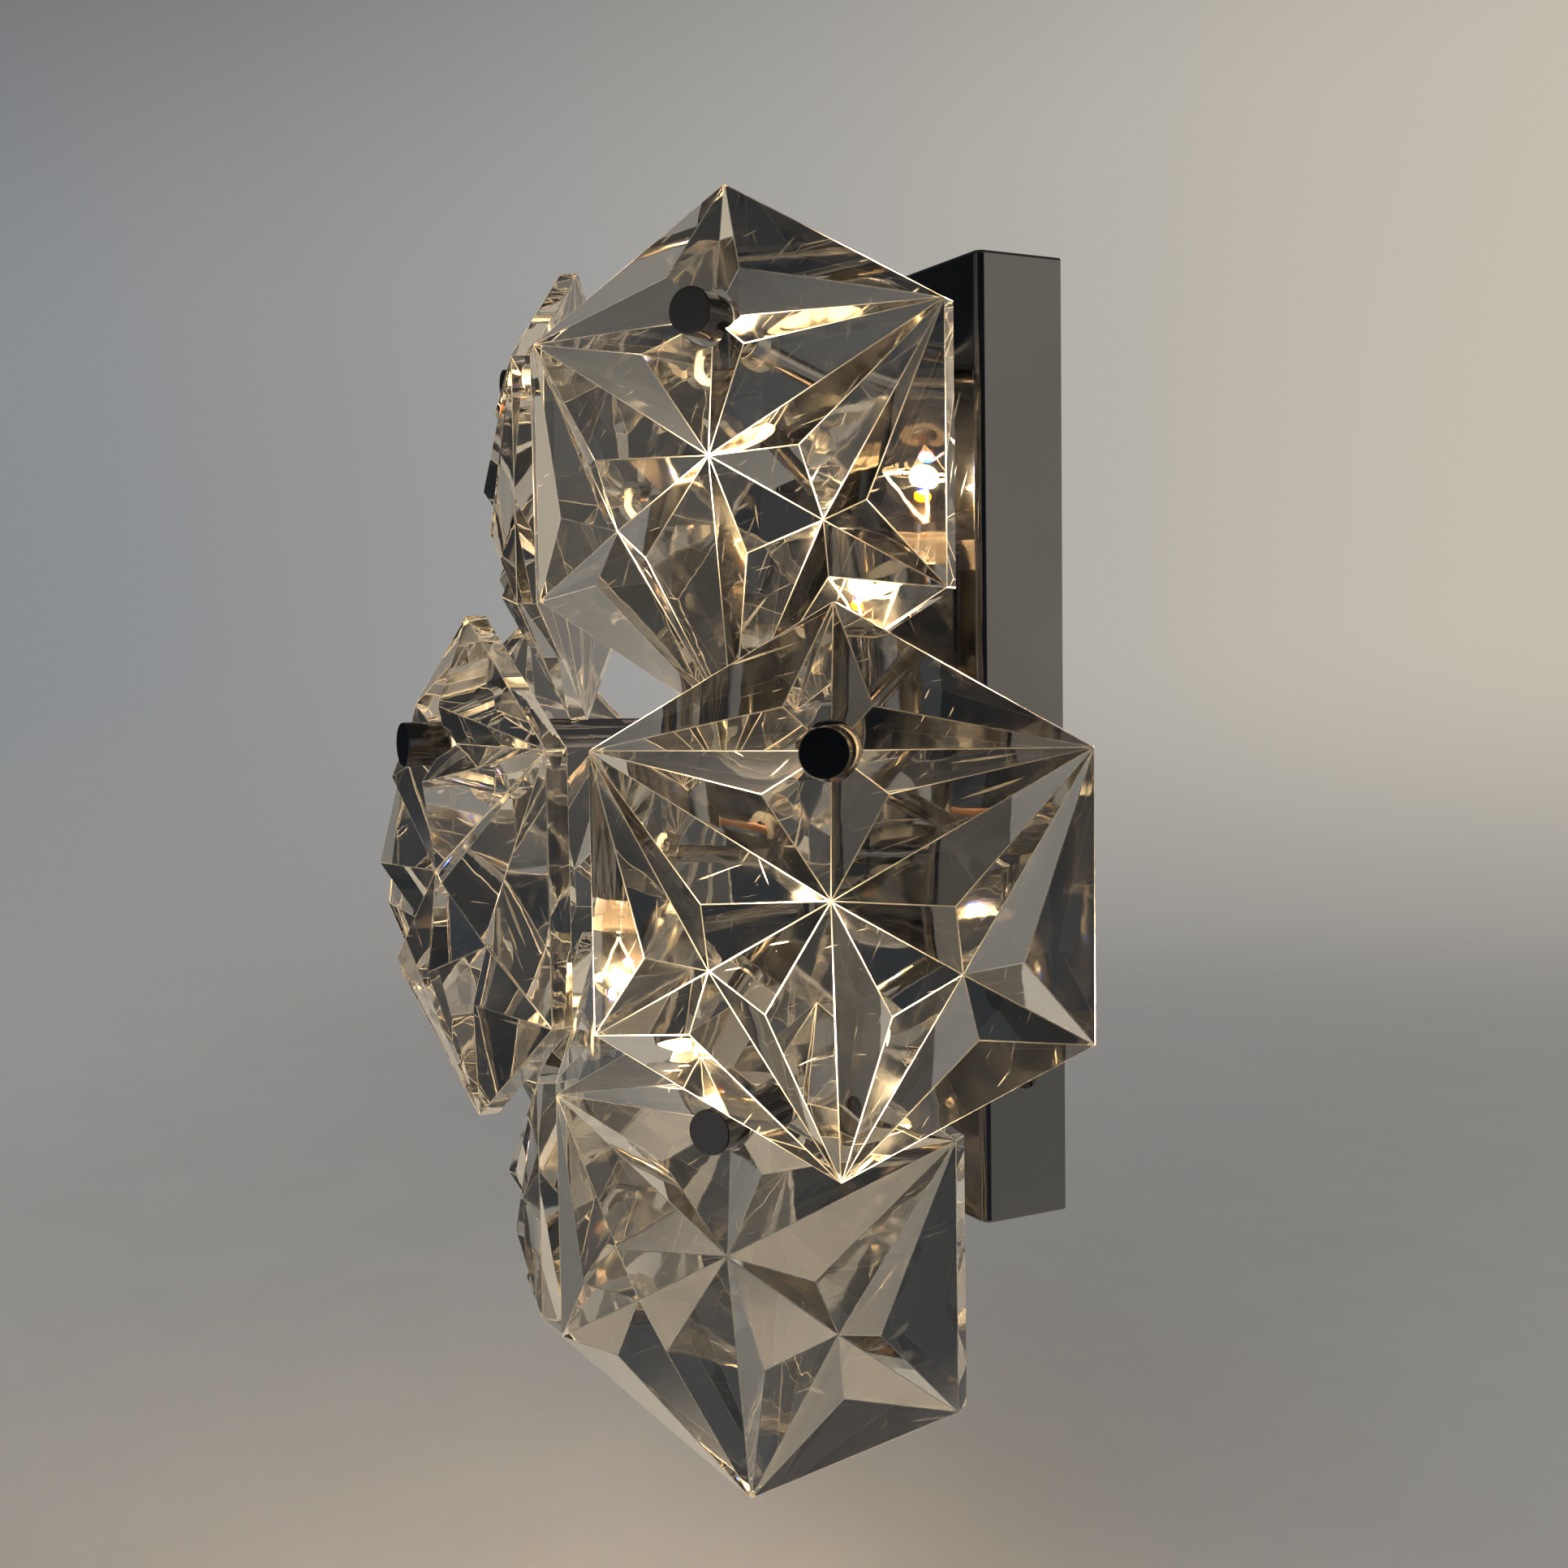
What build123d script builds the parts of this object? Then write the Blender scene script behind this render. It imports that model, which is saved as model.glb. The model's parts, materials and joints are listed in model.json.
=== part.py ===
# Crystal wall sconce: seven faceted crystal plates on chrome rods in front of a chrome wall cover.
# Millimetres. +Z is up, +Y points into the wall, the front faces -Y.
# The origin is the centre of the wall face, behind the cover.

from build123d import *
from math import cos, radians, sin
import os

os.makedirs("parts", exist_ok=True)

# ---------------------------------------------------------------- driving dimensions

# cover: a folded sheet box, open at the wall
cover_width = 80.0
cover_height = 243.0
cover_depth = 25.0
sheet = 1.0
cover_bend_radius = 2.5

# crystal plate: a hexagon with one corner up
crystal_radius = 60.0
rim_thickness = 4.9
centre_rise = 9.1
junction_rise = 5.75
inner_peak_rise = 15.5
inner_peak_radius = 0.422 * crystal_radius
inner_peak_angle = 120.0
outer_peak_rise = 10.2
outer_peak_radius = 0.667 * crystal_radius
outer_peak_angle = 103.0
crystal_hole_radius = 3.25
seat_radius = 6.3
seat_rise = 4.5

# where the plates hang: the rods of a tier leave one vertical axis on the cover's front
fan_axis_y = -25.5
tier_heights = {"top": 96.5, "middle": 3.5, "bottom": -82.0}
tier_reach = {"top": 89.0, "middle": 118.3, "bottom": 87.0}
outer_fan_angle = 34.7
middle_fan_angle = 52.8

# rods and what clamps the plates
rod_radius = 2.5
stud_radius = 2.0
stud_length = 21.1
turning_gap = 0.3
collar_radius = 5.0
collar_thickness = 3.0
bush_radius = 3.15
bush_flange_radius = 4.8
bush_flange_thickness = 0.8
nut_radius = 5.15
nut_length = 10.3
nut_bore_depth = 8.0
nut_edge_break = 0.4
stud_edge_break = 0.5

# gaps all round: a press fit, a part that turns or slides in, and a screw's free hole
press_clearance = 0.02
running_clearance = 0.05
screw_clearance = 0.25

# hubs on the cover
hub_radius = 13.0
hub_height = 12.0
hub_rim_round = 1.0
rod_root = 7.5
hub_screw_radius = 1.98
hub_screw_tip_y = -31.5
hub_bore_spare = 0.3
washer_radius = 5.0
washer_thickness = 1.0
screw_head_radius = 3.8
screw_head_height = 2.6
screw_slot_width = 1.0
screw_slot_depth = 1.2

# lampholders, back to back above and below the middle rods
lamp_axis_y = -58.0
bracket_gauge = 1.5
bracket_half_gap = 6.5
bracket_half_width = 11.0
bracket_fold_round = 1.2
nipple_radius = 5.0
nipple_gap = 0.1
nipple_bore_radius = 3.6
nipple_nut_height = 3.0
nipple_nut_half_width = 7.5
nipple_depth = 2.5
nipple_end_gap = 0.2
holder_radius = 12.0
holder_height = 34.0
holder_floor = 8.5
holder_bore_radius = 8.0
sleeve_thickness = 0.6
shell_outer_radius = 7.9
shell_inner_radius = 7.03
shell_bottom = 10.0
shell_top = 26.5
lead_entry_height = 5.6
lead_channel_start = 6.5
contact_length = 9.0
contact_width = 4.0
contact_gauge = 0.4
bulb_seat_height = 9.3

# bulb: a round clear lamp with a 14 mm screw cap
bulb_length = 70.0
bulb_radius = 22.5
glass_wall = 0.8
cap_radius = 6.95
cap_bottom = 4.0
cap_top = 20.0
cap_rim_overhang = 0.5
cap_rim_height = 1.5
neck_radius = 6.4
neck_top = 25.0
neck_depth = 2.0
globe_join_angle = 48.0
button_radius = 2.2
button_height = 0.8
base_cone_bottom = 3.0
base_cone_top = 5.9
base_plug_height = 1.5
stem_top = 36.0
stem_flare_height = 6.0
stem_waist_radius = 2.6
stem_tip_radius = 2.0
filament_height = 47.5
filament_ring_radius = 8.0
filament_wire_radius = 0.4
filament_sweep = 250.0
support_wire_radius = 0.3
# the support wires spread from a point this deep in the stem, and leave the stem this far along
wire_root_depth = 3.0
wire_buried_length = 3.6

# wiring
lead_radius = 1.1
lead_offset = 1.2
lead_grommet_radius = 4.4
lead_grommet_bore = 2.6
grommet_flange_overhang = 1.1
grommet_flange_thickness = 1.5
lead_start_reach = 7.0
lead_end_depth = 5.0
lead_bend_radius = 3.0
lead_turn_y = {"upper": -13.0, "lower": -15.0}
lead_drop = {"upper": 15.0, "lower": 7.0}
lead_shift = {"upper": 1.3, "lower": -1.3}
pole_pitch = 8.0
pole_depth_y = -8.5
terminal_top = -26.0
terminal_height = 22.0
terminal_width = 24.0
terminal_front_y = -14.5
terminal_edge_break = 1.0
terminal_tab_width = 9.0
terminal_tab_height = 8.0
terminal_tab_gauge = 3.0
terminal_channel = 6.4
clamp_side = 6.2
clamp_slot_length = 5.0
clamp_slot_width = 2.4
clamp_screw_reach = 5.0
clamp_screw_length = 4.2
clamp_screw_gap = 0.1
clamp_screw_well = 4.0
clamp_screw_well_gap = 0.4

# earth lead and the lug that it ends in
earth_bend_radius = 2.4
earth_loop_height = 8.0
lug_gauge = 0.6
lug_eye_radius = 4.2
lug_neck_length = 7.0
lug_neck_width = 3.0
lug_barrel_start = 4.8
lug_barrel_end = 8.0
lug_barrel_wall = 0.5
lug_barrel_standoff = 1.8

# wall bracket
plate_gauge = 1.5
plate_half_width = 20.0
plate_bottom = -105.0
plate_corner_round = 4.0
lip_depth = 14.0
wall_slot_spacing = 180.0
wall_slot_width = 5.5
wall_slot_length = 14.0
cable_entry_height = -66.0
cable_entry_radius = 7.0
cable_bore_radius = 4.5
cable_flange_overhang = 2.0
cable_flange_round = 0.6
ear_height = -85.0
ear_width = 16.0
ear_depth = 19.0
ear_gap = 0.1
cover_screw_radius = 1.45
cover_screw_head_radius = 2.9
cover_screw_head_height = 1.8
cover_screw_length = 6.0
cover_slot_width = 0.8
cover_slot_depth = 0.9
screw_edge_break = 0.4
earth_screw_x = -15.0
earth_screw_height = -12.0
small_screw_radius = 1.5
small_slot_width = 0.6
small_slot_depth = 0.8
bracket_slot_width = 0.9
bracket_slot_depth = 1.0

# ---------------------------------------------------------------- worked-out places

cover_front_y = -cover_depth
cover_inner_y = cover_front_y + sheet
cover_half_width = cover_width / 2
cover_half_height = cover_height / 2
junction_radius = crystal_radius / 2
middle_height = tier_heights["middle"]
collar_back = -rim_thickness - turning_gap - collar_thickness
bush_flange_bottom = seat_rise + turning_gap
nut_bottom = bush_flange_bottom + bush_flange_thickness + turning_gap
bracket_top = bracket_half_gap + bracket_gauge
web_front_y = cover_front_y - bracket_gauge
ear_outer_x = cover_half_width - sheet - ear_gap
globe_height = bulb_length - bulb_radius
lead_start_y = lamp_axis_y + lead_start_reach
lead_end_height = terminal_top - lead_end_depth
terminal_middle = terminal_top - terminal_height / 2
tab_screw_height = terminal_top - terminal_height - terminal_tab_height / 2
lug_y = -plate_gauge - lug_barrel_standoff
lug_barrel_x = earth_screw_x + lug_barrel_end


def direction(angle):
    """Level unit vector that leaves the wall, turned by angle towards +X."""
    return Vector(sin(radians(angle)), -cos(radians(angle)), 0)


def seat_plane(tier, angle):
    """Plane of a crystal's rim at its rod: local x level, y up, z outwards along the rod."""
    outwards = direction(angle)
    foot = Vector(0, fan_axis_y, tier_heights[tier])
    return Plane(
        origin=foot + outwards * tier_reach[tier],
        x_dir=(cos(radians(angle)), sin(radians(angle)), 0),
        z_dir=outwards,
    )


def profile_plane(base):
    """Plane through a base plane's own axis, for profiles that revolve about that axis."""
    return Plane(origin=base.origin, x_dir=base.x_dir, z_dir=-base.y_dir)


def spin_axis(base):
    """The base plane's own axis."""
    return Axis(base.origin, base.z_dir)


def save(builder, name):
    """Label a finished piece and write it."""
    builder.part.label = name
    export_step(builder.part, "parts/" + name + ".step")


seats = {
    "top_left": ("top", -outer_fan_angle),
    "top_right": ("top", outer_fan_angle),
    "middle_left": ("middle", -middle_fan_angle),
    "middle_centre": ("middle", 0.0),
    "middle_right": ("middle", middle_fan_angle),
    "bottom_left": ("bottom", -outer_fan_angle),
    "bottom_right": ("bottom", outer_fan_angle),
}

# Base planes of the two lampholders: z leaves the bracket, y points to the wall.
lamp_planes = {
    "upper": Plane(
        origin=(0, lamp_axis_y, middle_height + bracket_top), x_dir=(1, 0, 0), z_dir=(0, 0, 1)
    ),
    "lower": Plane(
        origin=(0, lamp_axis_y, middle_height - bracket_top), x_dir=(-1, 0, 0), z_dir=(0, 0, -1)
    ),
}
lead_heights = {
    "upper": middle_height + bracket_top + lead_entry_height,
    "lower": middle_height - bracket_top - lead_entry_height,
}

# ---------------------------------------------------------------- crystal plates

# The front is twelve cells in four shapes of triangle about three junctions. One inner and one
# outer cell are made beside the upper junction; the others are their mirror images and turns.


def polar(radius, angle, rise):
    """Point of the crystal's front, rise above the rim plane."""
    return Vector(radius * cos(radians(angle)), radius * sin(radians(angle)), rise)


crystal_centre = polar(0, 90, centre_rise)
upper_junction = polar(junction_radius, 90, junction_rise)
upper_corner = polar(crystal_radius, 90, 0)
left_corner = polar(crystal_radius, 150, 0)
inner_peak = polar(inner_peak_radius, inner_peak_angle, inner_peak_rise)
outer_peak = polar(outer_peak_radius, outer_peak_angle, outer_peak_rise)


def facet_plane(first, second, peak):
    """Plane through two corners and the peak, facing away from the crystal's back."""
    normal = (first - peak).cross(second - peak).normalized()
    if normal.Z < 0:
        normal = -normal
    return Plane(origin=peak, x_dir=first - peak, z_dir=normal)


def faceted_cell(corners, peak):
    """Triangular column whose top is the three facets that meet at the peak."""
    with BuildPart() as cell:
        with BuildSketch(Plane.XY.offset(-rim_thickness)):
            with BuildLine():
                Polyline(*[(corner.X, corner.Y) for corner in corners], close=True)
            make_face()
        extrude(amount=rim_thickness + peak.Z + 1)
        for first, second in zip(corners, corners[1:] + corners[:1]):
            split(bisect_by=facet_plane(first, second, peak), keep=Keep.BOTTOM)
    return cell.part


inner_cell = faceted_cell([upper_junction, crystal_centre, left_corner], inner_peak)
outer_cell = faceted_cell([upper_junction, upper_corner, left_corner], outer_peak)

with BuildPart() as crystal:
    with PolarLocations(0, 3):
        add(inner_cell)
        add(outer_cell)
        add(inner_cell.mirror(Plane.YZ))
        add(outer_cell.mirror(Plane.YZ))
    with BuildSketch(Plane.XY.offset(seat_rise)):
        with Locations((0, junction_radius)):
            Circle(seat_radius)
    extrude(amount=inner_peak_rise, mode=Mode.SUBTRACT)
    with BuildSketch(Plane.XY.offset(-rim_thickness)):
        with Locations((0, junction_radius)):
            Circle(crystal_hole_radius)
    extrude(amount=rim_thickness + inner_peak_rise, mode=Mode.SUBTRACT)

for place, (tier, angle) in seats.items():
    rod_seat = seat_plane(tier, angle)
    with BuildPart() as hung_crystal:
        with Locations(rod_seat.location * Location((0, -junction_radius, 0))):
            add(crystal.part)
    save(hung_crystal, "crystal_" + place)

# ---------------------------------------------------------------- rods, collars, bushes, cap nuts

for place, (tier, angle) in seats.items():
    rod_seat = seat_plane(tier, angle)
    with BuildPart() as support_rod:
        with BuildSketch(rod_seat.offset(rod_root - tier_reach[tier])):
            Circle(rod_radius)
        extrude(amount=tier_reach[tier] - rod_root + collar_back)
        with BuildSketch(rod_seat.offset(collar_back)):
            Circle(stud_radius)
        extrude(amount=stud_length)
        stud_tip = support_rod.edges().filter_by(GeomType.CIRCLE).sort_by(spin_axis(rod_seat))[-1]
        chamfer(stud_tip, length=stud_edge_break)
    save(support_rod, "support_rod_" + place)

    with BuildPart() as cap_nut:
        with BuildSketch(rod_seat.offset(nut_bottom)):
            Circle(nut_radius)
        extrude(amount=nut_length)
        rims = cap_nut.edges().filter_by(GeomType.CIRCLE).sort_by(spin_axis(rod_seat))
        chamfer(rims[-1], length=nut_edge_break)
        with BuildSketch(rod_seat.offset(nut_bottom)):
            Circle(stud_radius + running_clearance)
        extrude(amount=nut_bore_depth, mode=Mode.SUBTRACT)
    save(cap_nut, "cap_nut_" + place)

with BuildPart() as rod_collars:
    for tier, angle in seats.values():
        with BuildSketch(seat_plane(tier, angle).offset(collar_back)):
            Circle(collar_radius)
            Circle(stud_radius + running_clearance, mode=Mode.SUBTRACT)
        extrude(amount=collar_thickness)
save(rod_collars, "rod_collars")

with BuildPart() as crystal_bushes:
    for tier, angle in seats.values():
        rod_seat = seat_plane(tier, angle)
        with BuildSketch(rod_seat.offset(collar_back + collar_thickness)):
            Circle(bush_radius)
            Circle(stud_radius + running_clearance, mode=Mode.SUBTRACT)
        extrude(amount=bush_flange_bottom - collar_back - collar_thickness)
        with BuildSketch(rod_seat.offset(bush_flange_bottom)):
            Circle(bush_flange_radius)
            Circle(stud_radius + running_clearance, mode=Mode.SUBTRACT)
        extrude(amount=bush_flange_thickness)
save(crystal_bushes, "crystal_bushes")

# ---------------------------------------------------------------- hubs and their screws

# A hub is half a disc on the cover. The middle one stands on the lampholder bracket's web.

for tier, height in tier_heights.items():
    hub_back_y = web_front_y if tier == "middle" else cover_front_y
    with BuildPart() as hub:
        with BuildSketch(Plane.XY.offset(height - hub_height / 2)):
            with Locations((0, fan_axis_y)):
                Circle(hub_radius)
            with Locations((0, hub_back_y)):
                Rectangle(
                    3 * hub_radius, 3 * hub_radius, align=(Align.CENTER, Align.MIN), mode=Mode.SUBTRACT
                )
        extrude(amount=hub_height)
        round_rims = hub.edges().filter_by(GeomType.CIRCLE)
        fillet(round_rims, radius=hub_rim_round)
        for rod_tier, angle in seats.values():
            if rod_tier == tier:
                with BuildSketch(seat_plane(tier, angle).offset(rod_root - tier_reach[tier])):
                    Circle(rod_radius + press_clearance)
                extrude(amount=hub_radius, mode=Mode.SUBTRACT)
        with BuildSketch(Plane.XZ.offset(-hub_back_y)):
            with Locations((0, height)):
                Circle(hub_screw_radius + press_clearance)
        extrude(amount=hub_back_y - hub_screw_tip_y + hub_bore_spare, mode=Mode.SUBTRACT)
    save(hub, "hub_" + tier)

with BuildPart() as hub_screws:
    for height in tier_heights.values():
        head_front_y = cover_inner_y + washer_thickness
        with BuildSketch(Plane.XZ.offset(-head_front_y)):
            with Locations((0, height)):
                Circle(hub_screw_radius)
        extrude(amount=head_front_y - hub_screw_tip_y)
        with BuildSketch(Plane.XZ.offset(-head_front_y)):
            with Locations((0, height)):
                Circle(screw_head_radius)
        extrude(amount=-screw_head_height)
        with BuildSketch(Plane.XZ.offset(-head_front_y - screw_head_height)):
            with Locations((0, height)):
                Rectangle(3 * screw_head_radius, screw_slot_width)
        extrude(amount=screw_slot_depth, mode=Mode.SUBTRACT)
save(hub_screws, "hub_screws")

with BuildPart() as hub_washers:
    for height in tier_heights.values():
        with BuildSketch(Plane.XZ.offset(-cover_inner_y)):
            with Locations((0, height)):
                Circle(washer_radius)
                Circle(hub_screw_radius + running_clearance, mode=Mode.SUBTRACT)
        extrude(amount=-washer_thickness)
save(hub_washers, "hub_washers")

# ---------------------------------------------------------------- cover

with BuildPart() as cover:
    with BuildSketch(Plane.XZ):
        Rectangle(cover_width, cover_height)
    extrude(amount=cover_depth)
    front_rim = cover.faces().sort_by(Axis.Y)[0].edges()
    fillet(front_rim.filter_by(Axis.Z), radius=cover_bend_radius)
    fillet(cover.faces().sort_by(Axis.Y)[0].edges().filter_by(Axis.X), radius=sheet)
    with BuildSketch(Plane.XZ):
        Rectangle(cover_width - 2 * sheet, cover_height - 2 * sheet)
    extrude(amount=cover_depth - sheet, mode=Mode.SUBTRACT)
    with BuildSketch(Plane.XZ.offset(cover_depth - 2 * sheet)):
        with Locations(*[(0, height) for height in tier_heights.values()]):
            Circle(hub_screw_radius + screw_clearance)
        with Locations(*[(0, height) for height in lead_heights.values()]):
            Circle(lead_grommet_radius + running_clearance)
    extrude(amount=3 * sheet, mode=Mode.SUBTRACT)
    with BuildSketch(Plane.YZ):
        with Locations((-cover_depth / 2, ear_height)):
            Circle(cover_screw_radius + screw_clearance)
    extrude(amount=cover_width, both=True, mode=Mode.SUBTRACT)
save(cover, "cover")

with BuildPart() as cover_screws:
    for side in (-1, 1):
        wall_plane = Plane(
            origin=(side * cover_half_width, -cover_depth / 2, ear_height),
            x_dir=(0, 0, 1),
            z_dir=(side, 0, 0),
        )
        with BuildSketch(wall_plane):
            Circle(cover_screw_head_radius)
        extrude(amount=cover_screw_head_height)
        head_rims = cover_screws.edges().filter_by(GeomType.CIRCLE).sort_by(spin_axis(wall_plane))
        chamfer(head_rims[-1], length=screw_edge_break)
        with BuildSketch(wall_plane.offset(cover_screw_head_height)):
            Rectangle(cover_slot_width, 3 * cover_screw_head_radius)
        extrude(amount=-cover_slot_depth, mode=Mode.SUBTRACT)
        with BuildSketch(wall_plane):
            Circle(cover_screw_radius)
        extrude(amount=-cover_screw_length)
save(cover_screws, "cover_screws")

# ---------------------------------------------------------------- wall bracket

lip_top = cover_half_height - sheet

with BuildPart() as wall_bracket:
    with BuildSketch(Plane.XZ):
        with Locations((0, plate_bottom)):
            Rectangle(2 * plate_half_width, lip_top - plate_bottom, align=(Align.CENTER, Align.MIN))
        with Locations((0, ear_height)):
            Rectangle(2 * ear_outer_x, ear_width)
    extrude(amount=plate_gauge)
    with BuildSketch(Plane.XY.offset(lip_top)):
        Rectangle(2 * plate_half_width, lip_depth, align=(Align.CENTER, Align.MAX))
    extrude(amount=-plate_gauge)
    with BuildSketch(Plane.XY.offset(ear_height - ear_width / 2)):
        for side in (-1, 1):
            with Locations((side * (ear_outer_x - plate_gauge / 2), 0)):
                Rectangle(plate_gauge, ear_depth, align=(Align.CENTER, Align.MAX))
    extrude(amount=ear_width)
    with BuildSketch(Plane.XZ):
        with GridLocations(0, wall_slot_spacing, 1, 2):
            SlotOverall(wall_slot_length, wall_slot_width, rotation=90)
        with Locations((0, cable_entry_height)):
            Circle(cable_entry_radius)
        with Locations((earth_screw_x, earth_screw_height)):
            Circle(hub_screw_radius + press_clearance)
        with Locations((0, tab_screw_height)):
            Circle(small_screw_radius + press_clearance)
    extrude(amount=2 * plate_gauge, mode=Mode.SUBTRACT)
    with BuildSketch(Plane.YZ):
        with Locations((-cover_depth / 2, ear_height)):
            Circle(cover_screw_radius + press_clearance)
    extrude(amount=cover_width, both=True, mode=Mode.SUBTRACT)
    bracket_corners = wall_bracket.edges().filter_by(Axis.Y).filter_by_position(
        Axis.Z, plate_bottom - 1, plate_bottom + 1
    )
    fillet(bracket_corners, radius=plate_corner_round)
save(wall_bracket, "wall_bracket")

cable_axis = Plane(origin=(0, 0, cable_entry_height), x_dir=(1, 0, 0), z_dir=(0, -1, 0))
with BuildPart() as cable_grommet:
    with BuildSketch(cable_axis):
        Circle(cable_entry_radius - running_clearance)
    extrude(amount=plate_gauge)
    with BuildSketch(cable_axis.offset(plate_gauge)):
        Circle(cable_entry_radius + cable_flange_overhang)
    extrude(amount=plate_gauge)
    flange_rims = cable_grommet.edges().filter_by(GeomType.CIRCLE).sort_by(spin_axis(cable_axis))
    fillet(flange_rims[-1], radius=cable_flange_round)
    with BuildSketch(cable_axis):
        Circle(cable_bore_radius)
    extrude(amount=3 * plate_gauge, mode=Mode.SUBTRACT)
save(cable_grommet, "cable_grommet")

# ---------------------------------------------------------------- lampholder bracket

with BuildPart() as lampholder_bracket:
    with BuildSketch(Plane.XZ.offset(cover_depth)):
        with Locations((0, middle_height)):
            Rectangle(2 * bracket_half_width, 2 * bracket_top)
            Circle(hub_screw_radius + screw_clearance, mode=Mode.SUBTRACT)
    extrude(amount=bracket_gauge)
    for lower_face in (middle_height + bracket_half_gap, middle_height - bracket_top):
        with BuildSketch(Plane.XY.offset(lower_face)):
            with Locations((0, cover_front_y)):
                Rectangle(
                    2 * bracket_half_width, cover_front_y - lamp_axis_y, align=(Align.CENTER, Align.MAX)
                )
            with Locations((0, lamp_axis_y)):
                Circle(bracket_half_width)
                Circle(nipple_radius + nipple_gap, mode=Mode.SUBTRACT)
        extrude(amount=bracket_gauge)
    folds = lampholder_bracket.edges().filter_by(Axis.X).group_by(Axis.Y)[-1]
    fillet(folds, radius=bracket_fold_round)
save(lampholder_bracket, "lampholder_bracket")

# ---------------------------------------------------------------- lampholders

for level, base in lamp_planes.items():
    with BuildPart() as holder_body:
        with BuildSketch(base):
            Circle(holder_radius)
        extrude(amount=holder_height)
        with BuildSketch(base.offset(holder_floor)):
            Circle(holder_bore_radius)
        extrude(amount=holder_height, mode=Mode.SUBTRACT)
        with BuildSketch(base):
            Circle(nipple_radius + running_clearance)
        extrude(amount=nipple_depth + nipple_end_gap, mode=Mode.SUBTRACT)
        entry = Plane(
            origin=base.origin + base.z_dir * lead_entry_height + base.y_dir * lead_channel_start,
            x_dir=base.x_dir,
            z_dir=base.y_dir,
        )
        with BuildSketch(entry):
            Circle(lead_grommet_bore)
        extrude(amount=holder_radius, mode=Mode.SUBTRACT)
    save(holder_body, "holder_body_" + level)

    with BuildPart() as holder_sleeve:
        with BuildSketch(base):
            Circle(holder_radius + running_clearance + sleeve_thickness)
            Circle(holder_radius + running_clearance, mode=Mode.SUBTRACT)
        extrude(amount=holder_height)
        with BuildSketch(entry):
            Circle(lead_grommet_bore)
        extrude(amount=holder_radius, mode=Mode.SUBTRACT)
    save(holder_sleeve, "holder_sleeve_" + level)

with BuildPart() as holder_shells:
    for base in lamp_planes.values():
        with BuildSketch(base.offset(shell_bottom)):
            Circle(shell_outer_radius)
            Circle(shell_inner_radius, mode=Mode.SUBTRACT)
        extrude(amount=shell_top - shell_bottom)
save(holder_shells, "holder_shells")

with BuildPart() as holder_contacts:
    for base in lamp_planes.values():
        with BuildSketch(base.offset(holder_floor)):
            SlotOverall(contact_length, contact_width)
        extrude(amount=contact_gauge)
save(holder_contacts, "holder_contacts")

with BuildPart() as holder_nipples:
    for base in lamp_planes.values():
        with BuildSketch(base.offset(-bracket_gauge - nipple_nut_height)):
            Circle(nipple_radius)
            Circle(nipple_bore_radius, mode=Mode.SUBTRACT)
        extrude(amount=bracket_gauge + nipple_nut_height + nipple_depth)
save(holder_nipples, "holder_nipples")

with BuildPart() as nipple_nuts:
    for base in lamp_planes.values():
        with BuildSketch(base.offset(-bracket_gauge - nipple_nut_height)):
            RegularPolygon(radius=nipple_nut_half_width, side_count=6, major_radius=False)
            Circle(nipple_radius + running_clearance, mode=Mode.SUBTRACT)
        extrude(amount=nipple_nut_height)
save(nipple_nuts, "nipple_nuts")

# ---------------------------------------------------------------- bulbs



def bulb_outline(shrink):
    """Half outline of the glass, drawn inside its true outline by shrink."""
    globe = bulb_radius - shrink
    neck = neck_radius - shrink
    drop = globe * cos(radians(globe_join_angle))
    join = (globe * sin(radians(globe_join_angle)), globe_height - drop)
    foot_height = cap_top - neck_depth
    tip = (0, globe_height + globe)
    side = (globe, globe_height)
    Polyline((0, foot_height), (neck, foot_height), (neck, neck_top - 1))
    TangentArc((neck, neck_top - 1), join, tangent=(0.35, 1))
    ThreePointArc(join, side, tip)
    Line(tip, (0, foot_height))


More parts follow.
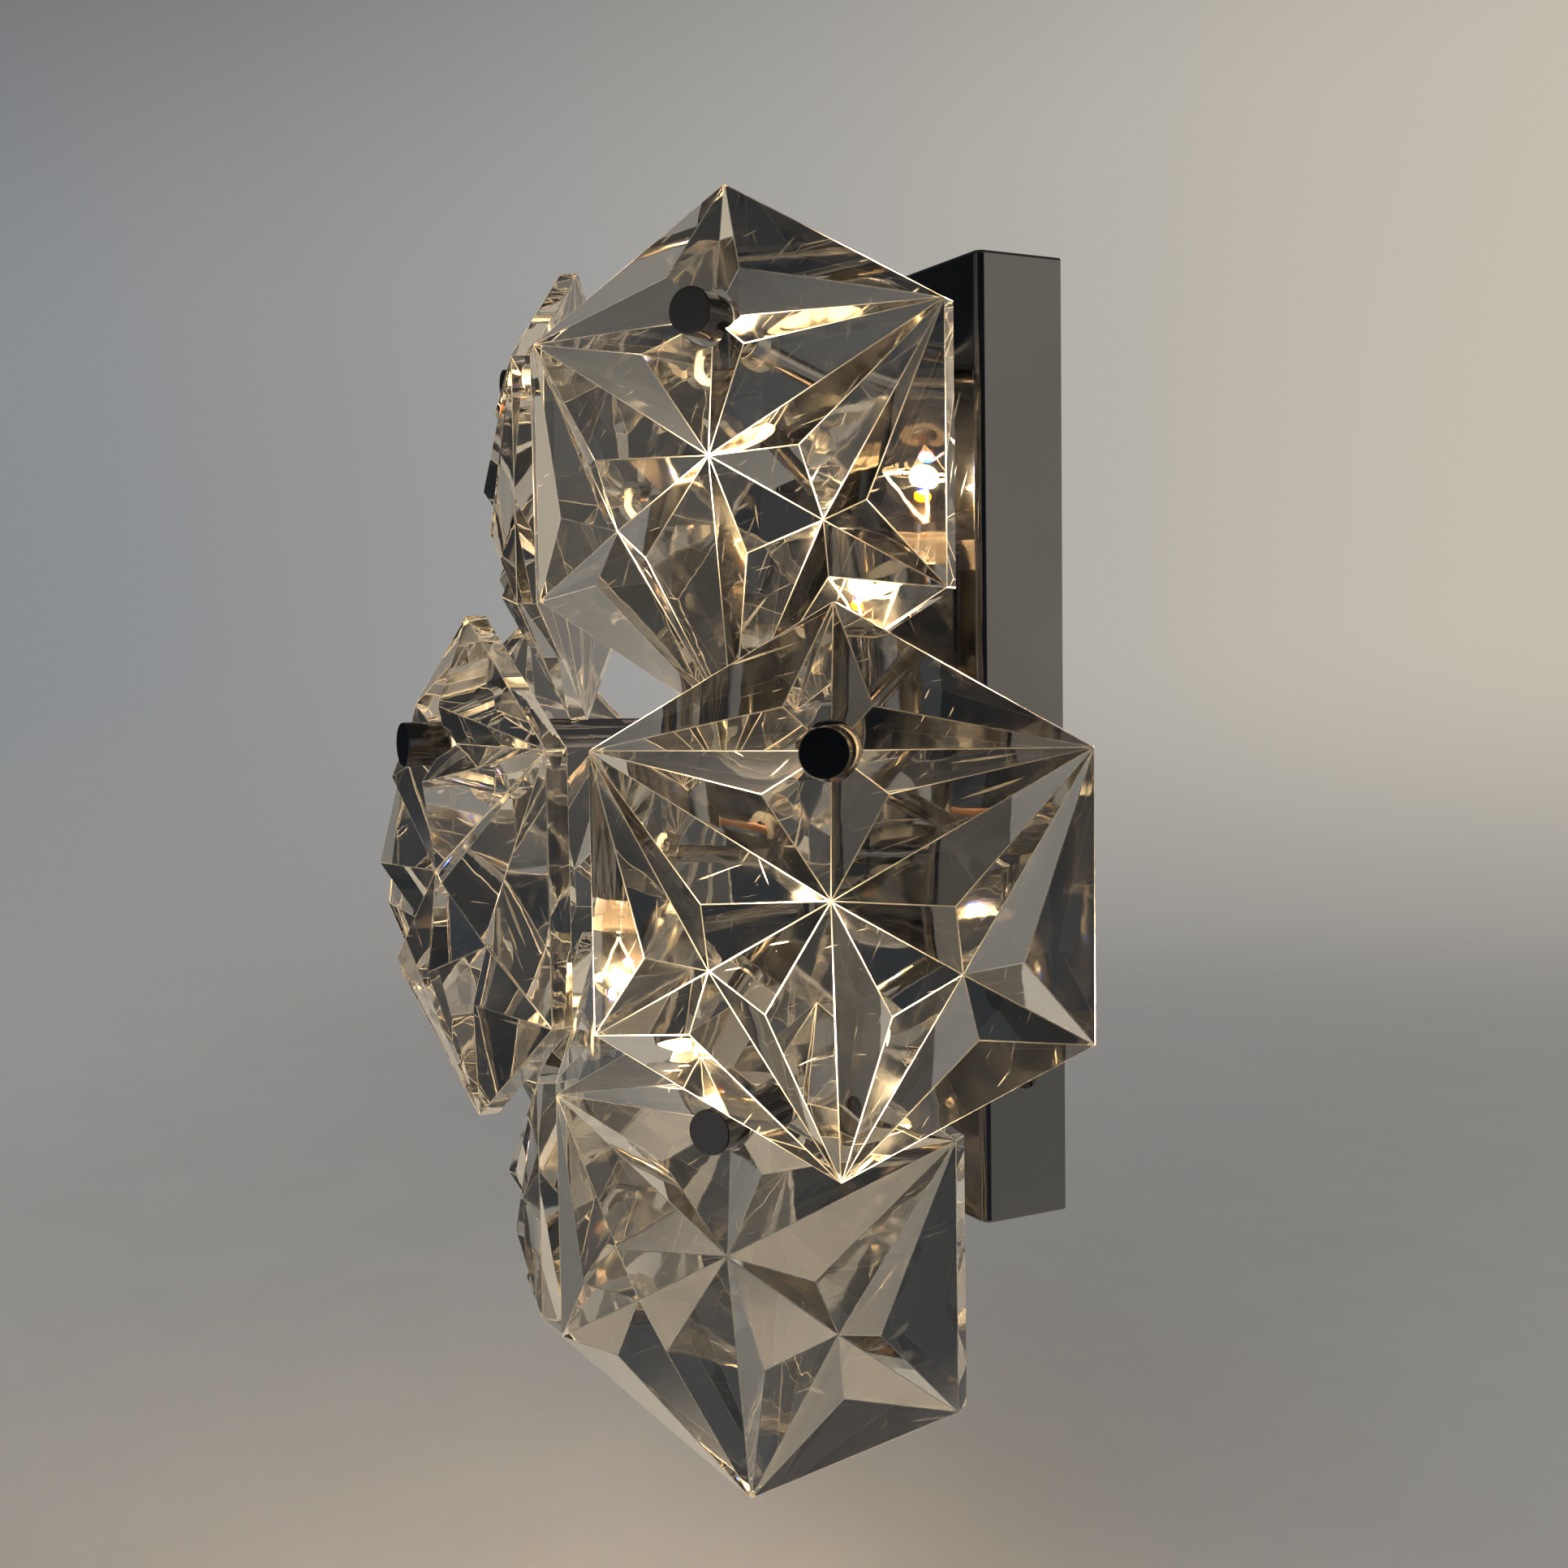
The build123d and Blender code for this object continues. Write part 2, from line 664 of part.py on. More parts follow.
for level, base in lamp_planes.items():
    foot = base.offset(bulb_seat_height)

    with BuildPart() as bulb_glass:
        with BuildSketch(profile_plane(foot)):
            with BuildLine():
                bulb_outline(0)
            make_face()
        revolve(axis=spin_axis(foot))
        with BuildSketch(profile_plane(foot)):
            with BuildLine():
                bulb_outline(glass_wall)
            make_face()
        revolve(axis=spin_axis(foot), mode=Mode.SUBTRACT)
    save(bulb_glass, "bulb_glass_" + level)

    with BuildPart() as bulb_cap:
        with BuildSketch(profile_plane(foot)):
            with BuildLine():
                Polyline(
                    (neck_radius + press_clearance, cap_bottom),
                    (cap_radius, cap_bottom),
                    (cap_radius, cap_top - 1),
                    (cap_radius + cap_rim_overhang, cap_top),
                    (cap_radius + cap_rim_overhang, cap_top + cap_rim_height),
                    (neck_radius + press_clearance, cap_top + cap_rim_height),
                    close=True,
                )
            make_face()
        revolve(axis=spin_axis(foot))
    save(bulb_cap, "bulb_cap_" + level)

    with BuildPart() as bulb_base:
        with BuildSketch(profile_plane(foot)):
            with BuildLine():
                Polyline(
                    (0, 0),
                    (button_radius, 0),
                    (button_radius + 0.2, button_height),
                    (base_cone_bottom, button_height + 0.2),
                    (base_cone_top, cap_bottom),
                    (neck_radius, cap_bottom),
                    (neck_radius, cap_bottom + base_plug_height),
                    (0, cap_bottom + base_plug_height),
                    close=True,
                )
            make_face()
        revolve(axis=spin_axis(foot))
    save(bulb_base, "bulb_base_" + level)

    with BuildPart() as bulb_stem:
        with BuildSketch(profile_plane(foot)):
            with BuildLine():
                Polyline(
                    (0, cap_top - 1),
                    (neck_radius - glass_wall - 0.1, cap_top - 1),
                    (stem_waist_radius, cap_top - 1 + stem_flare_height),
                    (stem_tip_radius, stem_top),
                    (0, stem_top),
                    close=True,
                )
            make_face()
        revolve(axis=spin_axis(foot))
    save(bulb_stem, "bulb_stem_" + level)

    with BuildPart() as bulb_filament:
        ring_start = (270 - filament_sweep) / 2 - 90
        with BuildLine(foot.offset(filament_height)) as ring:
            CenterArc((0, 0), filament_ring_radius, ring_start, filament_sweep)
        with BuildSketch(Plane(origin=ring.line @ 0, z_dir=ring.line % 0)):
            Circle(filament_wire_radius)
        sweep(path=ring.line)
        for end in (0, 1):
            wire_start = foot.origin + foot.z_dir * (stem_top - wire_root_depth)
            wire_end = ring.line @ end
            lean = (wire_end - wire_start).normalized()
            with BuildSketch(Plane(origin=wire_start + lean * wire_buried_length, z_dir=lean)):
                Circle(support_wire_radius)
            extrude(amount=(wire_end - wire_start).length - wire_buried_length)
    save(bulb_filament, "bulb_filament_" + level)

# ---------------------------------------------------------------- grommets and leads

with BuildPart() as lead_grommets:
    for height in lead_heights.values():
        front = Plane(origin=(0, cover_front_y, height), x_dir=(1, 0, 0), z_dir=(0, -1, 0))
        with BuildSketch(front.offset(-sheet)):
            Circle(lead_grommet_radius)
        extrude(amount=sheet)
        with BuildSketch(front):
            Circle(lead_grommet_radius + grommet_flange_overhang)
        extrude(amount=grommet_flange_thickness)
        with BuildSketch(front.offset(-sheet)):
            Circle(lead_grommet_radius + grommet_flange_overhang)
        extrude(amount=-grommet_flange_thickness)
        with BuildSketch(front):
            Circle(lead_grommet_bore)
        extrude(amount=3 * grommet_flange_thickness, both=True, mode=Mode.SUBTRACT)
save(lead_grommets, "lead_grommets")


def lead_route(level, side):
    """Corner points of one lead, from its lampholder to its pole; side is -1 or 1."""
    height = lead_heights[level]
    pole_x = side * (pole_pitch + lead_shift[level])
    return [
        (side * lead_offset, lead_start_y, height),
        (side * lead_offset, lead_turn_y[level], height),
        (pole_x, pole_depth_y, height - lead_drop[level]),
        (pole_x, pole_depth_y, lead_end_height),
    ]


for colour, side in (("live", 1), ("neutral", -1)):
    with BuildPart() as leads:
        for level in lamp_planes:
            with BuildLine() as route:
                FilletPolyline(*lead_route(level, side), radius=lead_bend_radius)
            with BuildSketch(Plane(origin=route.line @ 0, z_dir=route.line % 0)):
                Circle(lead_radius)
            sweep(path=route.line)
    save(leads, colour + "_leads")

with BuildPart() as earth_lead:
    with BuildLine() as earth_route:
        FilletPolyline(
            (0, pole_depth_y, lead_end_height),
            (0, pole_depth_y, terminal_top + earth_loop_height),
            (1, lug_y, earth_screw_height),
            (lug_barrel_x, lug_y, earth_screw_height),
            radius=earth_bend_radius,
        )
    with BuildSketch(Plane(origin=earth_route.line @ 0, z_dir=earth_route.line % 0)):
        Circle(lead_radius)
    sweep(path=earth_route.line)
save(earth_lead, "earth_lead")

with BuildPart() as earth_lug:
    with BuildSketch(Plane.XZ.offset(plate_gauge)):
        with Locations((earth_screw_x, earth_screw_height)):
            Circle(lug_eye_radius)
            Rectangle(lug_neck_length, lug_neck_width, align=(Align.MIN, Align.CENTER))
            Circle(hub_screw_radius + running_clearance, mode=Mode.SUBTRACT)
    extrude(amount=lug_gauge)
    barrel_start = Plane(
        origin=(earth_screw_x + lug_barrel_start, lug_y, earth_screw_height),
        x_dir=(0, 1, 0),
        z_dir=(1, 0, 0),
    )
    with BuildSketch(barrel_start):
        Circle(lead_radius + lug_barrel_wall)
    extrude(amount=lug_barrel_end - lug_barrel_start)
save(earth_lug, "earth_lug")

with BuildPart() as bracket_screws:
    earth_head = plate_gauge + lug_gauge
    tab_head = plate_gauge + terminal_tab_gauge
    for x, height, head_y, shank, head in (
        (earth_screw_x, earth_screw_height, earth_head, hub_screw_radius, screw_head_radius),
        (0, tab_screw_height, tab_head, small_screw_radius, cover_screw_head_radius),
    ):
        with BuildSketch(Plane.XZ):
            with Locations((x, height)):
                Circle(shank)
        extrude(amount=head_y)
        with BuildSketch(Plane.XZ.offset(head_y)):
            with Locations((x, height)):
                Circle(head)
        extrude(amount=screw_head_height)
        with BuildSketch(Plane.XZ.offset(head_y + screw_head_height)):
            with Locations((x, height)):
                Rectangle(3 * head, bracket_slot_width)
        extrude(amount=-bracket_slot_depth, mode=Mode.SUBTRACT)
save(bracket_screws, "bracket_screws")

# ---------------------------------------------------------------- terminal block

clamp_length = terminal_height - 4
poles = [(-pole_pitch, pole_depth_y), (0, pole_depth_y), (pole_pitch, pole_depth_y)]

with BuildPart() as terminal_block:
    with BuildSketch(Plane.XZ.offset(plate_gauge)):
        with Locations((0, terminal_middle)):
            Rectangle(terminal_width, terminal_height)
    extrude(amount=-terminal_front_y - plate_gauge)
    chamfer(terminal_block.faces().sort_by(Axis.Y)[0].edges(), length=terminal_edge_break)
    with BuildSketch(Plane.XZ.offset(plate_gauge)):
        with Locations((0, terminal_top - terminal_height)):
            Rectangle(terminal_tab_width, terminal_tab_height, align=(Align.CENTER, Align.MAX))
        with Locations((0, tab_screw_height)):
            Circle(small_screw_radius + running_clearance, mode=Mode.SUBTRACT)
    extrude(amount=terminal_tab_gauge)
    with BuildSketch(Plane.XY.offset(terminal_top)):
        with Locations(*poles):
            Rectangle(terminal_channel, terminal_channel)
    extrude(amount=-terminal_height, mode=Mode.SUBTRACT)
    with BuildSketch(Plane.XZ.offset(-terminal_front_y)):
        with Locations((0, terminal_middle)):
            with GridLocations(pole_pitch, 2 * clamp_screw_reach, 3, 2):
                Circle(small_screw_radius + clamp_screw_well_gap)
    extrude(amount=-clamp_screw_well, mode=Mode.SUBTRACT)
save(terminal_block, "terminal_block")

with BuildPart() as terminal_clamps:
    with BuildSketch(Plane.XY.offset(terminal_middle - clamp_length / 2)):
        with Locations(*poles):
            Rectangle(clamp_side, clamp_side)
            SlotOverall(clamp_slot_length, clamp_slot_width, mode=Mode.SUBTRACT)
    extrude(amount=clamp_length)
    with BuildSketch(Plane.XZ.offset(-pole_depth_y)):
        with Locations((0, terminal_middle)):
            with GridLocations(pole_pitch, 2 * clamp_screw_reach, 3, 2):
                Circle(small_screw_radius + running_clearance)
    extrude(amount=clamp_side, mode=Mode.SUBTRACT)
save(terminal_clamps, "terminal_clamps")

with BuildPart() as terminal_screws:
    screw_foot = -pole_depth_y + lead_radius + clamp_screw_gap
    with BuildSketch(Plane.XZ.offset(screw_foot)):
        with Locations((0, terminal_middle)):
            with GridLocations(pole_pitch, 2 * clamp_screw_reach, 3, 2):
                Circle(small_screw_radius)
    extrude(amount=clamp_screw_length)
    with BuildSketch(Plane.XZ.offset(screw_foot + clamp_screw_length)):
        with Locations((0, terminal_middle)):
            with GridLocations(pole_pitch, 2 * clamp_screw_reach, 3, 2):
                Rectangle(3 * small_screw_radius, small_slot_width)
    extrude(amount=-small_slot_depth, mode=Mode.SUBTRACT)
save(terminal_screws, "terminal_screws")
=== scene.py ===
"""Crystal wall sconce: the finished pieces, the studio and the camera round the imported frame.

Metres in the frame, +Z up, +Y into the wall, the front faces -Y. Sizes of the sconce's own
pieces are written in millimetres and scaled once, when a piece is put in its place.
"""

from __future__ import annotations

import json
import logging
import math
from dataclasses import dataclass, field
from enum import Enum
from typing import Iterable, Sequence

import bmesh
import bpy
from mathutils import Matrix, Vector

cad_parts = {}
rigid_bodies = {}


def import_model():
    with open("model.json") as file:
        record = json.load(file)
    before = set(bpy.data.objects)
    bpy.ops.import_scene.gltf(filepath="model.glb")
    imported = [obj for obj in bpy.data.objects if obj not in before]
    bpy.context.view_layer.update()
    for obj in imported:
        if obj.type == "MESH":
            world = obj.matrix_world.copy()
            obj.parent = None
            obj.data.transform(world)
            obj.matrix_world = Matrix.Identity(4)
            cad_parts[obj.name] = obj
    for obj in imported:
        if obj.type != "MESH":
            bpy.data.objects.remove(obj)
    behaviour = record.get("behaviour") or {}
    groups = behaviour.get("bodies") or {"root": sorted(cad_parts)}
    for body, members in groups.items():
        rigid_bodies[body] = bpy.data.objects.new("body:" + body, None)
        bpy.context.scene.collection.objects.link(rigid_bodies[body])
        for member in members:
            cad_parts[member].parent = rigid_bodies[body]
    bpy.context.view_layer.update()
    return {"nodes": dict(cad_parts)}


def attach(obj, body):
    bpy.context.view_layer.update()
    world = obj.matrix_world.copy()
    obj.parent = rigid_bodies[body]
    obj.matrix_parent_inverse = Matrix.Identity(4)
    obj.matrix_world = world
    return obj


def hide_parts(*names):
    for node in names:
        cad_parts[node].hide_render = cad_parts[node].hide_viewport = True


for leftover in list(bpy.data.objects):
    bpy.data.objects.remove(leftover)

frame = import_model()

log = logging.getLogger("sconce")

MM = 0.001
FULL_TURN = 2 * math.pi
FIXTURE = "fixture"
Profile = Sequence[tuple[float, float]]


class Tier(Enum):
    """The three rows of crystals."""

    TOP = "top"
    MIDDLE = "middle"
    BOTTOM = "bottom"


class Level(Enum):
    """The two lampholders, back to back; the value is the way that each one points."""

    UPPER = 1
    LOWER = -1

    @property
    def label(self) -> str:
        """The level's word in the names of pieces."""
        return self.name.lower()


TIER_HEIGHT = {Tier.TOP: 96.5, Tier.MIDDLE: 3.5, Tier.BOTTOM: -82.0}
TIER_REACH = {Tier.TOP: 89.0, Tier.MIDDLE: 118.3, Tier.BOTTOM: 87.0}
FAN_AXIS_Y = -25.5
LAMP_AXIS_Y = -58.0
BRACKET_TOP = 8.0
BULB_SEAT = 9.3
GLOBE_CENTRE = 47.5
SCREW_CAP_PITCH = 2.82


@dataclass(frozen=True)
class Seat:
    """Where one crystal hangs: its rim plane at the end of its rod.

    Attributes:
        place: The seat's word in the names of pieces.
        tier: The row that it is in.
        angle: How far its rod turns towards +X, in degrees.
    """

    place: str
    tier: Tier
    angle: float

    @property
    def reach(self) -> float:
        """Distance from the rods' common axis to the rim plane, in millimetres."""
        return TIER_REACH[self.tier]

    def matrix(self) -> Matrix:
        """The seat's frame in metres: x level, y up, z outwards along the rod.

        Returns:
            The matrix that takes millimetres at the seat to metres in the frame.
        """
        a = math.radians(self.angle)
        outwards = Vector((math.sin(a), -math.cos(a), 0))
        foot = Vector((0, FAN_AXIS_Y, TIER_HEIGHT[self.tier])) + outwards * self.reach
        return frame_matrix((math.cos(a), math.sin(a), 0), (0, 0, 1), outwards, foot)


def frame_matrix(x: Sequence[float], y: Sequence[float], z: Sequence[float], foot: Sequence[float]) -> Matrix:
    """Matrix from millimetres in a local frame to metres in the shared one.

    Args:
        x: The local x direction.
        y: The local y direction.
        z: The local z direction.
        foot: The local origin, in millimetres.

    Returns:
        The scaled and placed matrix.
    """
    turned = Matrix((x, y, z)).transposed().to_4x4()
    return Matrix.Diagonal((MM, MM, MM, 1)) @ Matrix.Translation(Vector(foot)) @ turned


def lamp_matrix(level: Level) -> Matrix:
    """Frame of a lampholder's base: z leaves the bracket, y points to the wall.

    Args:
        level: Which lampholder.

    Returns:
        The matrix from the base's millimetres to metres.
    """
    way = level.value
    foot = (0, LAMP_AXIS_Y, TIER_HEIGHT[Tier.MIDDLE] + way * BRACKET_TOP)
    return frame_matrix((way, 0, 0), (0, 1, 0), (0, 0, way), foot)


SEATS = (
    Seat("top_left", Tier.TOP, -34.7),
    Seat("top_right", Tier.TOP, 34.7),
    Seat("middle_left", Tier.MIDDLE, -52.8),
    Seat("middle_centre", Tier.MIDDLE, 0.0),
    Seat("middle_right", Tier.MIDDLE, 52.8),
    Seat("bottom_left", Tier.BOTTOM, -34.7),
    Seat("bottom_right", Tier.BOTTOM, 34.7),
)


# ---------------------------------------------------------------- shader and geometry nodes


class ShadingNodes:
    """The nodes of a material or of the world, added and joined with few words."""

    def __init__(self, tree: bpy.types.NodeTree) -> None:
        """Take up a node tree.

        Args:
            tree: The tree of the material or the world.
        """
        self.tree = tree
        self.nodes = tree.nodes

    def add(self, kind: str, **settings: object) -> bpy.types.Node:
        """Add a node.

        Args:
            kind: The node's type.
            **settings: Properties of the node.

        Returns:
            The node.
        """
        node = self.nodes.new(kind)
        for key, value in settings.items():
            setattr(node, key, value)
        return node

    def join(self, source: bpy.types.NodeSocket, target: bpy.types.NodeSocket) -> None:
        """Link an output to an input."""
        self.tree.links.new(source, target)

    def spread(
        self, source: bpy.types.NodeSocket, start: float, end: float, low: float, high: float
    ) -> bpy.types.NodeSocket:
        """Map a value from one range to another, smoothly and clamped.

        Args:
            source: The value.
            start: Where the value starts to count.
            end: Where it stops.
            low: What start becomes.
            high: What end becomes.

        Returns:
            The mapped value.
        """
        mapped = self.add("ShaderNodeMapRange", interpolation_type="SMOOTHSTEP")
        for key, value in (("From Min", start), ("From Max", end), ("To Min", low), ("To Max", high)):
            mapped.inputs[key].default_value = value
        self.join(source, mapped.inputs["Value"])
        return mapped.outputs["Result"]

    def combine(
        self, first: bpy.types.NodeSocket, second: bpy.types.NodeSocket, operation: str = "ADD"
    ) -> bpy.types.NodeSocket:
        """Combine two values by a Math node.

        Args:
            first: One value.
            second: The other.
            operation: The Math node's operation.

        Returns:
            The result.
        """
        math_node = self.add("ShaderNodeMath", operation=operation)
        self.join(first, math_node.inputs[0])
        self.join(second, math_node.inputs[1])
        return math_node.outputs["Value"]

    def mixed(
        self,
        share: bpy.types.NodeSocket,
        first: bpy.types.NodeSocket | Sequence[float],
        second: bpy.types.NodeSocket | Sequence[float],
    ) -> bpy.types.NodeSocket:
        """Mix two colours.

        Args:
            share: How much of the second colour there is, from 0 to 1.
            first: The colour at 0, as a socket or three numbers.
            second: The colour at 1, as a socket or three numbers.

        Returns:
            The mixed colour.
        """
        mix = self.add("ShaderNodeMix", data_type="RGBA")
        self.join(share, mix.inputs["Factor"])
        ends = [socket for socket in mix.inputs if socket.type == "RGBA"]
        for socket, colour in zip(ends, (first, second)):
            if isinstance(colour, bpy.types.NodeSocket):
                self.join(colour, socket)
            else:
                socket.default_value = (*colour, 1)
        return next(socket for socket in mix.outputs if socket.type == "RGBA")


class ShaderGraph(ShadingNodes):
    """The nodes of one material round its shader."""

    def __init__(self, name: str) -> None:
        """Start a material with its shader and its place on the object.

        Args:
            name: The finish's name.
        """
        self.material = bpy.data.materials.new(name)
        self.material.use_nodes = True
        super().__init__(self.material.node_tree)
        self.shader = self.nodes["Principled BSDF"]
        self.place = self.add("ShaderNodeTexCoord").outputs["Object"]

    def noise(
        self,
        scale: float,
        detail: float = 2.0,
        stretch: Sequence[float] = (1, 1, 1),
        turn: Sequence[float] = (0, 0, 0),
    ) -> bpy.types.NodeSocket:
        """Soft noise over the object.

        Args:
            scale: Features per metre.
            detail: Octaves of finer noise.
            stretch: How many times longer its features are along each axis.
            turn: How those axes are turned.

        Returns:
            The noise, about 0.5 on average.
        """
        mapping = self.add("ShaderNodeMapping", vector_type="TEXTURE")
        mapping.inputs["Scale"].default_value = stretch
        mapping.inputs["Rotation"].default_value = turn
        self.join(self.place, mapping.inputs["Vector"])
        texture = self.add("ShaderNodeTexNoise")
        texture.inputs["Scale"].default_value = scale
        texture.inputs["Detail"].default_value = detail
        self.join(mapping.outputs["Vector"], texture.inputs["Vector"])
        return texture.outputs["Fac"]

    def hairlines(self, scale: float, amount: float) -> bpy.types.NodeSocket:
        """Sparse fine scratches that run three ways.

        Args:
            scale: Scratches per metre across their length.
            amount: The value in a scratch; it is 0 elsewhere.

        Returns:
            The scratches.
        """
        lines = None
        for turn in ((0.2, 0.4, 0.5), (1.1, 0.3, 2.0), (0.5, 1.3, 1.2)):
            line = self.spread(self.noise(scale, 0.0, (1, 25, 18), turn), 0.82, 0.87, 0.0, amount)
            lines = line if lines is None else self.combine(lines, line, "MAXIMUM")
        return lines

    def bumps(self, layers: Iterable[tuple[bpy.types.NodeSocket, float]]) -> None:
        """Give the shader its relief.

        Args:
            layers: Heights from 0 to 1, each with its depth in metres.
        """
        last = None
        for height, depth in layers:
            bump = self.add("ShaderNodeBump")
            bump.inputs["Strength"].default_value = 1.0
            bump.inputs["Distance"].default_value = depth
            self.join(height, bump.inputs["Height"])
            if last is not None:
                self.join(last.outputs["Normal"], bump.inputs["Normal"])
            last = bump
        self.join(last.outputs["Normal"], self.shader.inputs["Normal"])

    def tint(self, source: bpy.types.NodeSocket, dark: Sequence[float], light: Sequence[float]) -> None:
        """Let a value run the base colour between two colours.

        Args:
            source: The value, from 0 to 1.
            dark: The colour at 0.
            light: The colour at 1.
        """
        self.join(self.mixed(source, dark, light), self.shader.inputs["Base Color"])

    def fade(self, share: bpy.types.NodeSocket) -> None:
        """Let the surface go clear.

        Args:
            share: How clear it is, from 0 to 1.
        """
        mix = self.add("ShaderNodeMixShader")
        self.join(share, mix.inputs[0])
        self.join(self.shader.outputs[0], mix.inputs[1])
        self.join(self.add("ShaderNodeBsdfTransparent").outputs[0], mix.inputs[2])
        self.join(mix.outputs[0], self.nodes["Material Output"].inputs["Surface"])

    def set(self, **values: object) -> None:
        """Set the shader's own sockets; underscores in a key stand for spaces."""
        for key, value in values.items():
            self.shader.inputs[key.replace("_", " ")].default_value = value


class GeometryTree:
    """A geometry node tree with named inputs for its sizes."""

    def __init__(self, name: str, inputs: dict[str, tuple[str, object]]) -> None:
        """Start a tree.

        Args:
            name: The tree's name.
            inputs: For each input's name, its kind of socket and its default.
        """
        self.tree = bpy.data.node_groups.new(name, "GeometryNodeTree")
        face = self.tree.interface
        face.new_socket("Geometry", in_out="INPUT", socket_type="NodeSocketGeometry")
        self.keys: dict[str, str] = {}
        for key, (kind, default) in {**inputs, "Finish": ("Material", None)}.items():
            socket = face.new_socket(key, in_out="INPUT", socket_type="NodeSocket" + kind)
            if default is not None:
                socket.default_value = default
            self.keys[key] = socket.identifier
        face.new_socket("Geometry", in_out="OUTPUT", socket_type="NodeSocketGeometry")
        self.given = self.add("NodeGroupInput").outputs
        self.result = self.add("NodeGroupOutput").inputs

    def add(self, kind: str, joined: dict[str | int, object] | None = None, **settings: object) -> bpy.types.Node:
        """Add a node, with its inputs joined to sockets or set to values.

        Args:
            kind: The node's type.
            joined: For each input's name or number, an output socket or a value.
            **settings: Properties of the node.

        Returns:
            The node.
        """
        node = self.tree.nodes.new(kind)
        for key, value in settings.items():
            setattr(node, key, value)
        for key, value in (joined or {}).items():
            if isinstance(value, bpy.types.NodeSocket):
                self.tree.links.new(value, node.inputs[key])
            else:
                node.inputs[key].default_value = value
        return node

    def math(self, operation: str, *values: object) -> bpy.types.NodeSocket:
        """A Math node's result."""
        return self.add("ShaderNodeMath", dict(enumerate(values)), operation=operation).outputs[0]

    def vector(self, operation: str, *values: object) -> bpy.types.NodeSocket:
        """A Vector Math node's result."""
        return self.add("ShaderNodeVectorMath", dict(enumerate(values)), operation=operation).outputs[0]

    def finish(self, geometry: bpy.types.NodeSocket) -> None:
        """End the tree with its instances realized and its finish set.

        Args:
            geometry: What the tree has made.
        """
        real = self.add("GeometryNodeRealizeInstances", {"Geometry": geometry})
        done = self.add(
            "GeometryNodeSetMaterial", {"Geometry": real.outputs[0], "Material": self.given["Finish"]}
        )
        self.tree.links.new(done.outputs[0], self.result[0])

    def run(self, name: str, source: bpy.types.Mesh, **values: object) -> bpy.types.Mesh:
        """Run the tree on a mesh.

        Args:
            name: The new mesh's name.
            source: The mesh that the tree starts from.
            **values: The tree's inputs, with underscores for spaces.

        Returns:
            The result as a plain mesh.
        """
        holder = new_object(name + "_source", source)
        modifier = holder.modifiers.new(self.tree.name, "NODES")
        modifier.node_group = self.tree
        for key, value in values.items():
            modifier[self.keys[key.replace("_", " ")]] = value
        mesh = applied_mesh(holder)
        mesh.name = name
        return mesh


def new_object(name: str, mesh: bpy.types.Mesh) -> bpy.types.Object:
    """Put a mesh in the scene as an object at the origin.

    Args:
        name: The object's name.
        mesh: Its mesh.

    Returns:
        The object.
    """
    made = bpy.data.objects.new(name, mesh)
    bpy.context.scene.collection.objects.link(made)
    return made


def applied_mesh(holder: bpy.types.Object) -> bpy.types.Mesh:
    """Turn an object and its modifiers into a plain mesh, and remove the object.

    Args:
        holder: The object.

    Returns:
        The evaluated mesh.
    """
    depsgraph = bpy.context.evaluated_depsgraph_get()
    mesh = bpy.data.meshes.new_from_object(holder.evaluated_get(depsgraph))
    holder.modifiers.clear()
    bpy.data.objects.remove(holder)
    return mesh


# ---------------------------------------------------------------- finishes


class Finish:
    """A finish that is made once and shared by its pieces."""

    name: str

    def material(self) -> bpy.types.Material:
        """The finish's material, made when it is first asked for."""
        return bpy.data.materials.get(self.name) or self.make()

    def make(self) -> bpy.types.Material:
        """Make the material."""
        raise NotImplementedError


@dataclass(frozen=True)
class Chrome(Finish):
    """Polished chrome with handling smudges, hairlines and a little sheet ripple.

    Attributes:
        name: The finish's name.
        tint: Colour of the reflections.
        gloss: Roughness where it is clean and where it is smudged.
        ripple: Depth of the surface's slow waves, in metres.
    """

    name: str = "polished_chrome"
    tint: tuple[float, float, float] = (0.5, 0.5, 0.5)
    gloss: tuple[float, float] = (0.035, 0.16)
    ripple: float = 0.00003

    def make(self) -> bpy.types.Material:
        """Make the chrome.

        Returns:
            The material.
        """
        graph = ShaderGraph(self.name)
        graph.set(Metallic=1.0)
        smudges = graph.noise(45, 5.0)
        scratches = graph.hairlines(900, 0.18)
        rough = graph.spread(smudges, 0.42, 0.72, *self.gloss)
        graph.join(graph.combine(rough, scratches), graph.shader.inputs["Roughness"])
        dull = tuple(0.86 * value for value in self.tint)
        graph.tint(graph.spread(graph.noise(14, 3.0), 0.35, 0.7, 0.0, 1.0), self.tint, dull)
        graph.bumps(((graph.noise(22, 1.0), self.ripple), (scratches, 0.000004)))
        return graph.material


